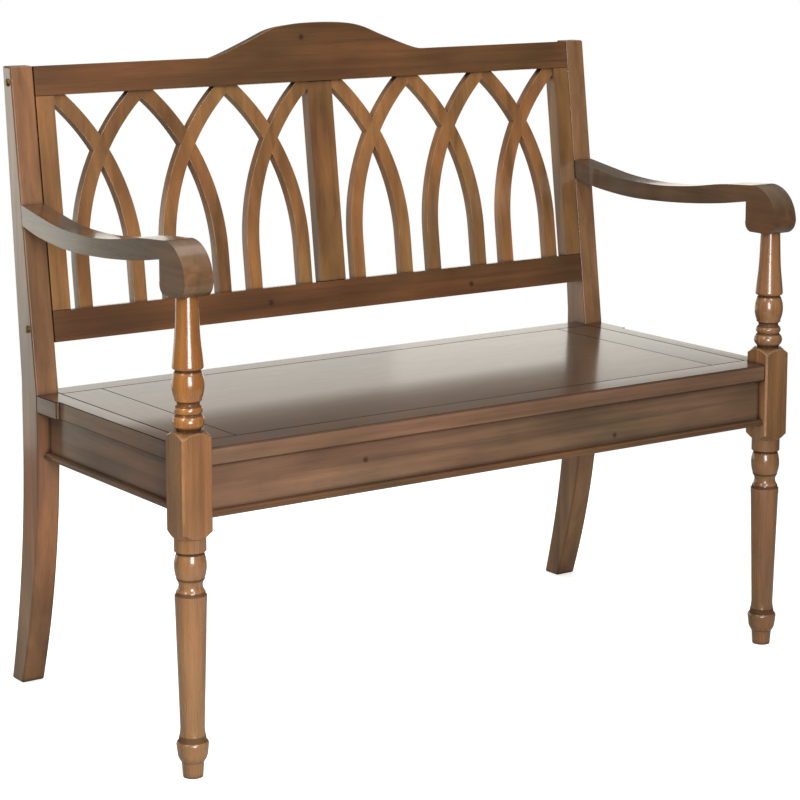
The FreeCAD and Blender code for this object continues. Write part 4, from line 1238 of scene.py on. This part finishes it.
def pale_floor():
    """Matt seamless paper, nearly white, with the faintest mottle, fading out at its rim.

    The camera sees it white. The light that it throws back on the pew is that of a greyer paper.
    """
    material, tree = new_material("seamless_paper")
    place = add(tree, "TexCoord").outputs["Object"]
    away = add(tree, "VectorMath", {0: place}, operation="LENGTH").outputs["Value"]
    fade = ranged(tree, away, *FLOOR_FADE)
    mottle = add(tree, "TexNoise", {"Vector": place, "Scale": 3.0}).outputs["Fac"]
    stops = [(0.3, linear("#F4F3F1")), (0.7, linear("#FAFAF8"))]
    surface = {
        "Base Color": add(tree, "ValToRGB", {"Fac": mottle}, stops=stops).outputs[0],
        "Roughness": 0.9,
        "Specular IOR Level": 0.1,
        "Emission Color": linear(WHITE),
        "Emission Strength": 0.6,
    }
    white = add(tree, "BsdfPrincipled", surface)
    grey = add(tree, "BsdfDiffuse", {"Color": linear("#B4B0A6")})
    seen = add(tree, "LightPath").outputs["Is Camera Ray"]
    paper = add(tree, "MixShader", {0: seen, 1: grey.outputs[0], 2: white.outputs[0]})
    clear = add(tree, "BsdfTransparent")
    both = add(tree, "MixShader", {0: fade, 1: paper.outputs[0], 2: clear.outputs[0]})
    add(tree, "OutputMaterial", {"Surface": both.outputs[0]})
    return material


def studio_world():
    """White to the camera; to the pew, a dim room, a little brighter behind and bright overhead."""
    world = bpy.data.worlds.new("studio")
    world.use_nodes = True
    tree = world.node_tree
    tree.nodes.clear()
    way = add(tree, "TexCoord").outputs["Generated"]
    behind = add(tree, "VectorMath", {0: way, 1: (-0.5, 0.86, 0)}, operation="DOT_PRODUCT").outputs["Value"]
    up = add(tree, "VectorMath", {0: way, 1: (0, 0, 1)}, operation="DOT_PRODUCT").outputs["Value"]
    level = ranged(tree, behind, -0.5, 0.7, 0.12, 0.16)
    above = ranged(tree, up, 0.3, 0.9, 0.0, 0.5)
    strength = maths(tree, "ADD", level, above)
    lit = add(tree, "Background", {"Color": linear("#FFFEF6"), "Strength": strength})
    seen = add(tree, "Background", {"Color": linear(WHITE), "Strength": 1.0})
    camera_ray = add(tree, "LightPath").outputs["Is Camera Ray"]
    both = add(tree, "MixShader", {0: camera_ray, 1: lit.outputs[0], 2: seen.outputs[0]})
    add(tree, "OutputWorld", {"Surface": both.outputs[0]})
    return world


class PEW_OT_stage(bpy.types.Operator):
    """Sets the floor, the soft light and the camera"""

    bl_idname = "pew.stage"
    bl_label = "Stage"

    def execute(self, context):
        self.floor(context.scene)
        context.scene.world = studio_world()
        for light in LIGHTS:
            glow(*light)
        self.camera(context.scene)
        context.scene.view_settings.view_transform = "Standard"
        return {"FINISHED"}

    def floor(self, scene):
        """A square of paper, just under the feet."""
        bm = bmesh.new()
        bmesh.ops.create_grid(bm, x_segments=1, y_segments=1, size=FLOOR_HALF)
        mesh = bpy.data.meshes.new("floor")
        bm.to_mesh(mesh)
        bm.free()
        floor = bpy.data.objects.new("floor", mesh)
        floor.location.z = -FLOOR_DROP
        mesh.materials.append(pale_floor())
        scene.collection.objects.link(floor)

    def camera(self, scene):
        """The camera as the stage's settings have it, with its lens shifted to frame the pew."""
        stage = scene.pew_stage
        camera = bpy.data.cameras.new("camera")
        camera.lens = stage.lens
        camera.sensor_width = SENSOR
        camera.shift_y = LENS_SHIFT
        camera.clip_end = 60
        item = bpy.data.objects.new("camera", camera)
        item.location = stage.camera_place
        item.rotation_euler = (math.pi / 2 - stage.camera_dip, 0, -stage.camera_turn)
        scene.collection.objects.link(item)
        scene.camera = item


# ---------------------------------------------------------------- add-on


class PEW_PT_panel(bpy.types.Panel):
    """Lists the pew's operators and settings"""

    bl_idname = "PEW_PT_panel"
    bl_label = "Hall Pew"
    bl_space_type = "VIEW_3D"
    bl_region_type = "UI"
    bl_category = "Pew"

    def draw(self, context):
        for group in (context.scene.pew_sizes, context.scene.pew_finish, context.scene.pew_stage):
            part = self.layout.box()
            for name in group.bl_rna.properties.keys():
                if name not in ("rna_type", "name"):
                    part.prop(group, name)
        for operator in OPERATORS:
            self.layout.operator(operator.bl_idname)


GROUPS = (("pew_sizes", PewSizes), ("pew_finish", PewFinish), ("pew_stage", PewStage))
OPERATORS = (PEW_OT_stage, PEW_OT_front_legs, PEW_OT_rear_legs, PEW_OT_arms, PEW_OT_aprons, PEW_OT_beads,
             PEW_OT_seat, PEW_OT_bearers, PEW_OT_back_frame, PEW_OT_lattice, PEW_OT_fastenings)


def register():
    for name, group in GROUPS:
        bpy.utils.register_class(group)
        setattr(bpy.types.Scene, name, PointerProperty(type=group))
    for operator in OPERATORS:
        bpy.utils.register_class(operator)
    bpy.utils.register_class(PEW_PT_panel)


def unregister():
    bpy.utils.unregister_class(PEW_PT_panel)
    for operator in OPERATORS:
        bpy.utils.unregister_class(operator)
    for name, group in GROUPS:
        delattr(bpy.types.Scene, name)
        bpy.utils.unregister_class(group)


def main():
    register()
    for operator in OPERATORS:
        group, _, name = operator.bl_idname.partition(".")
        getattr(getattr(bpy.ops, group), name)()
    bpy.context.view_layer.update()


if __name__ == "__main__":
    main()
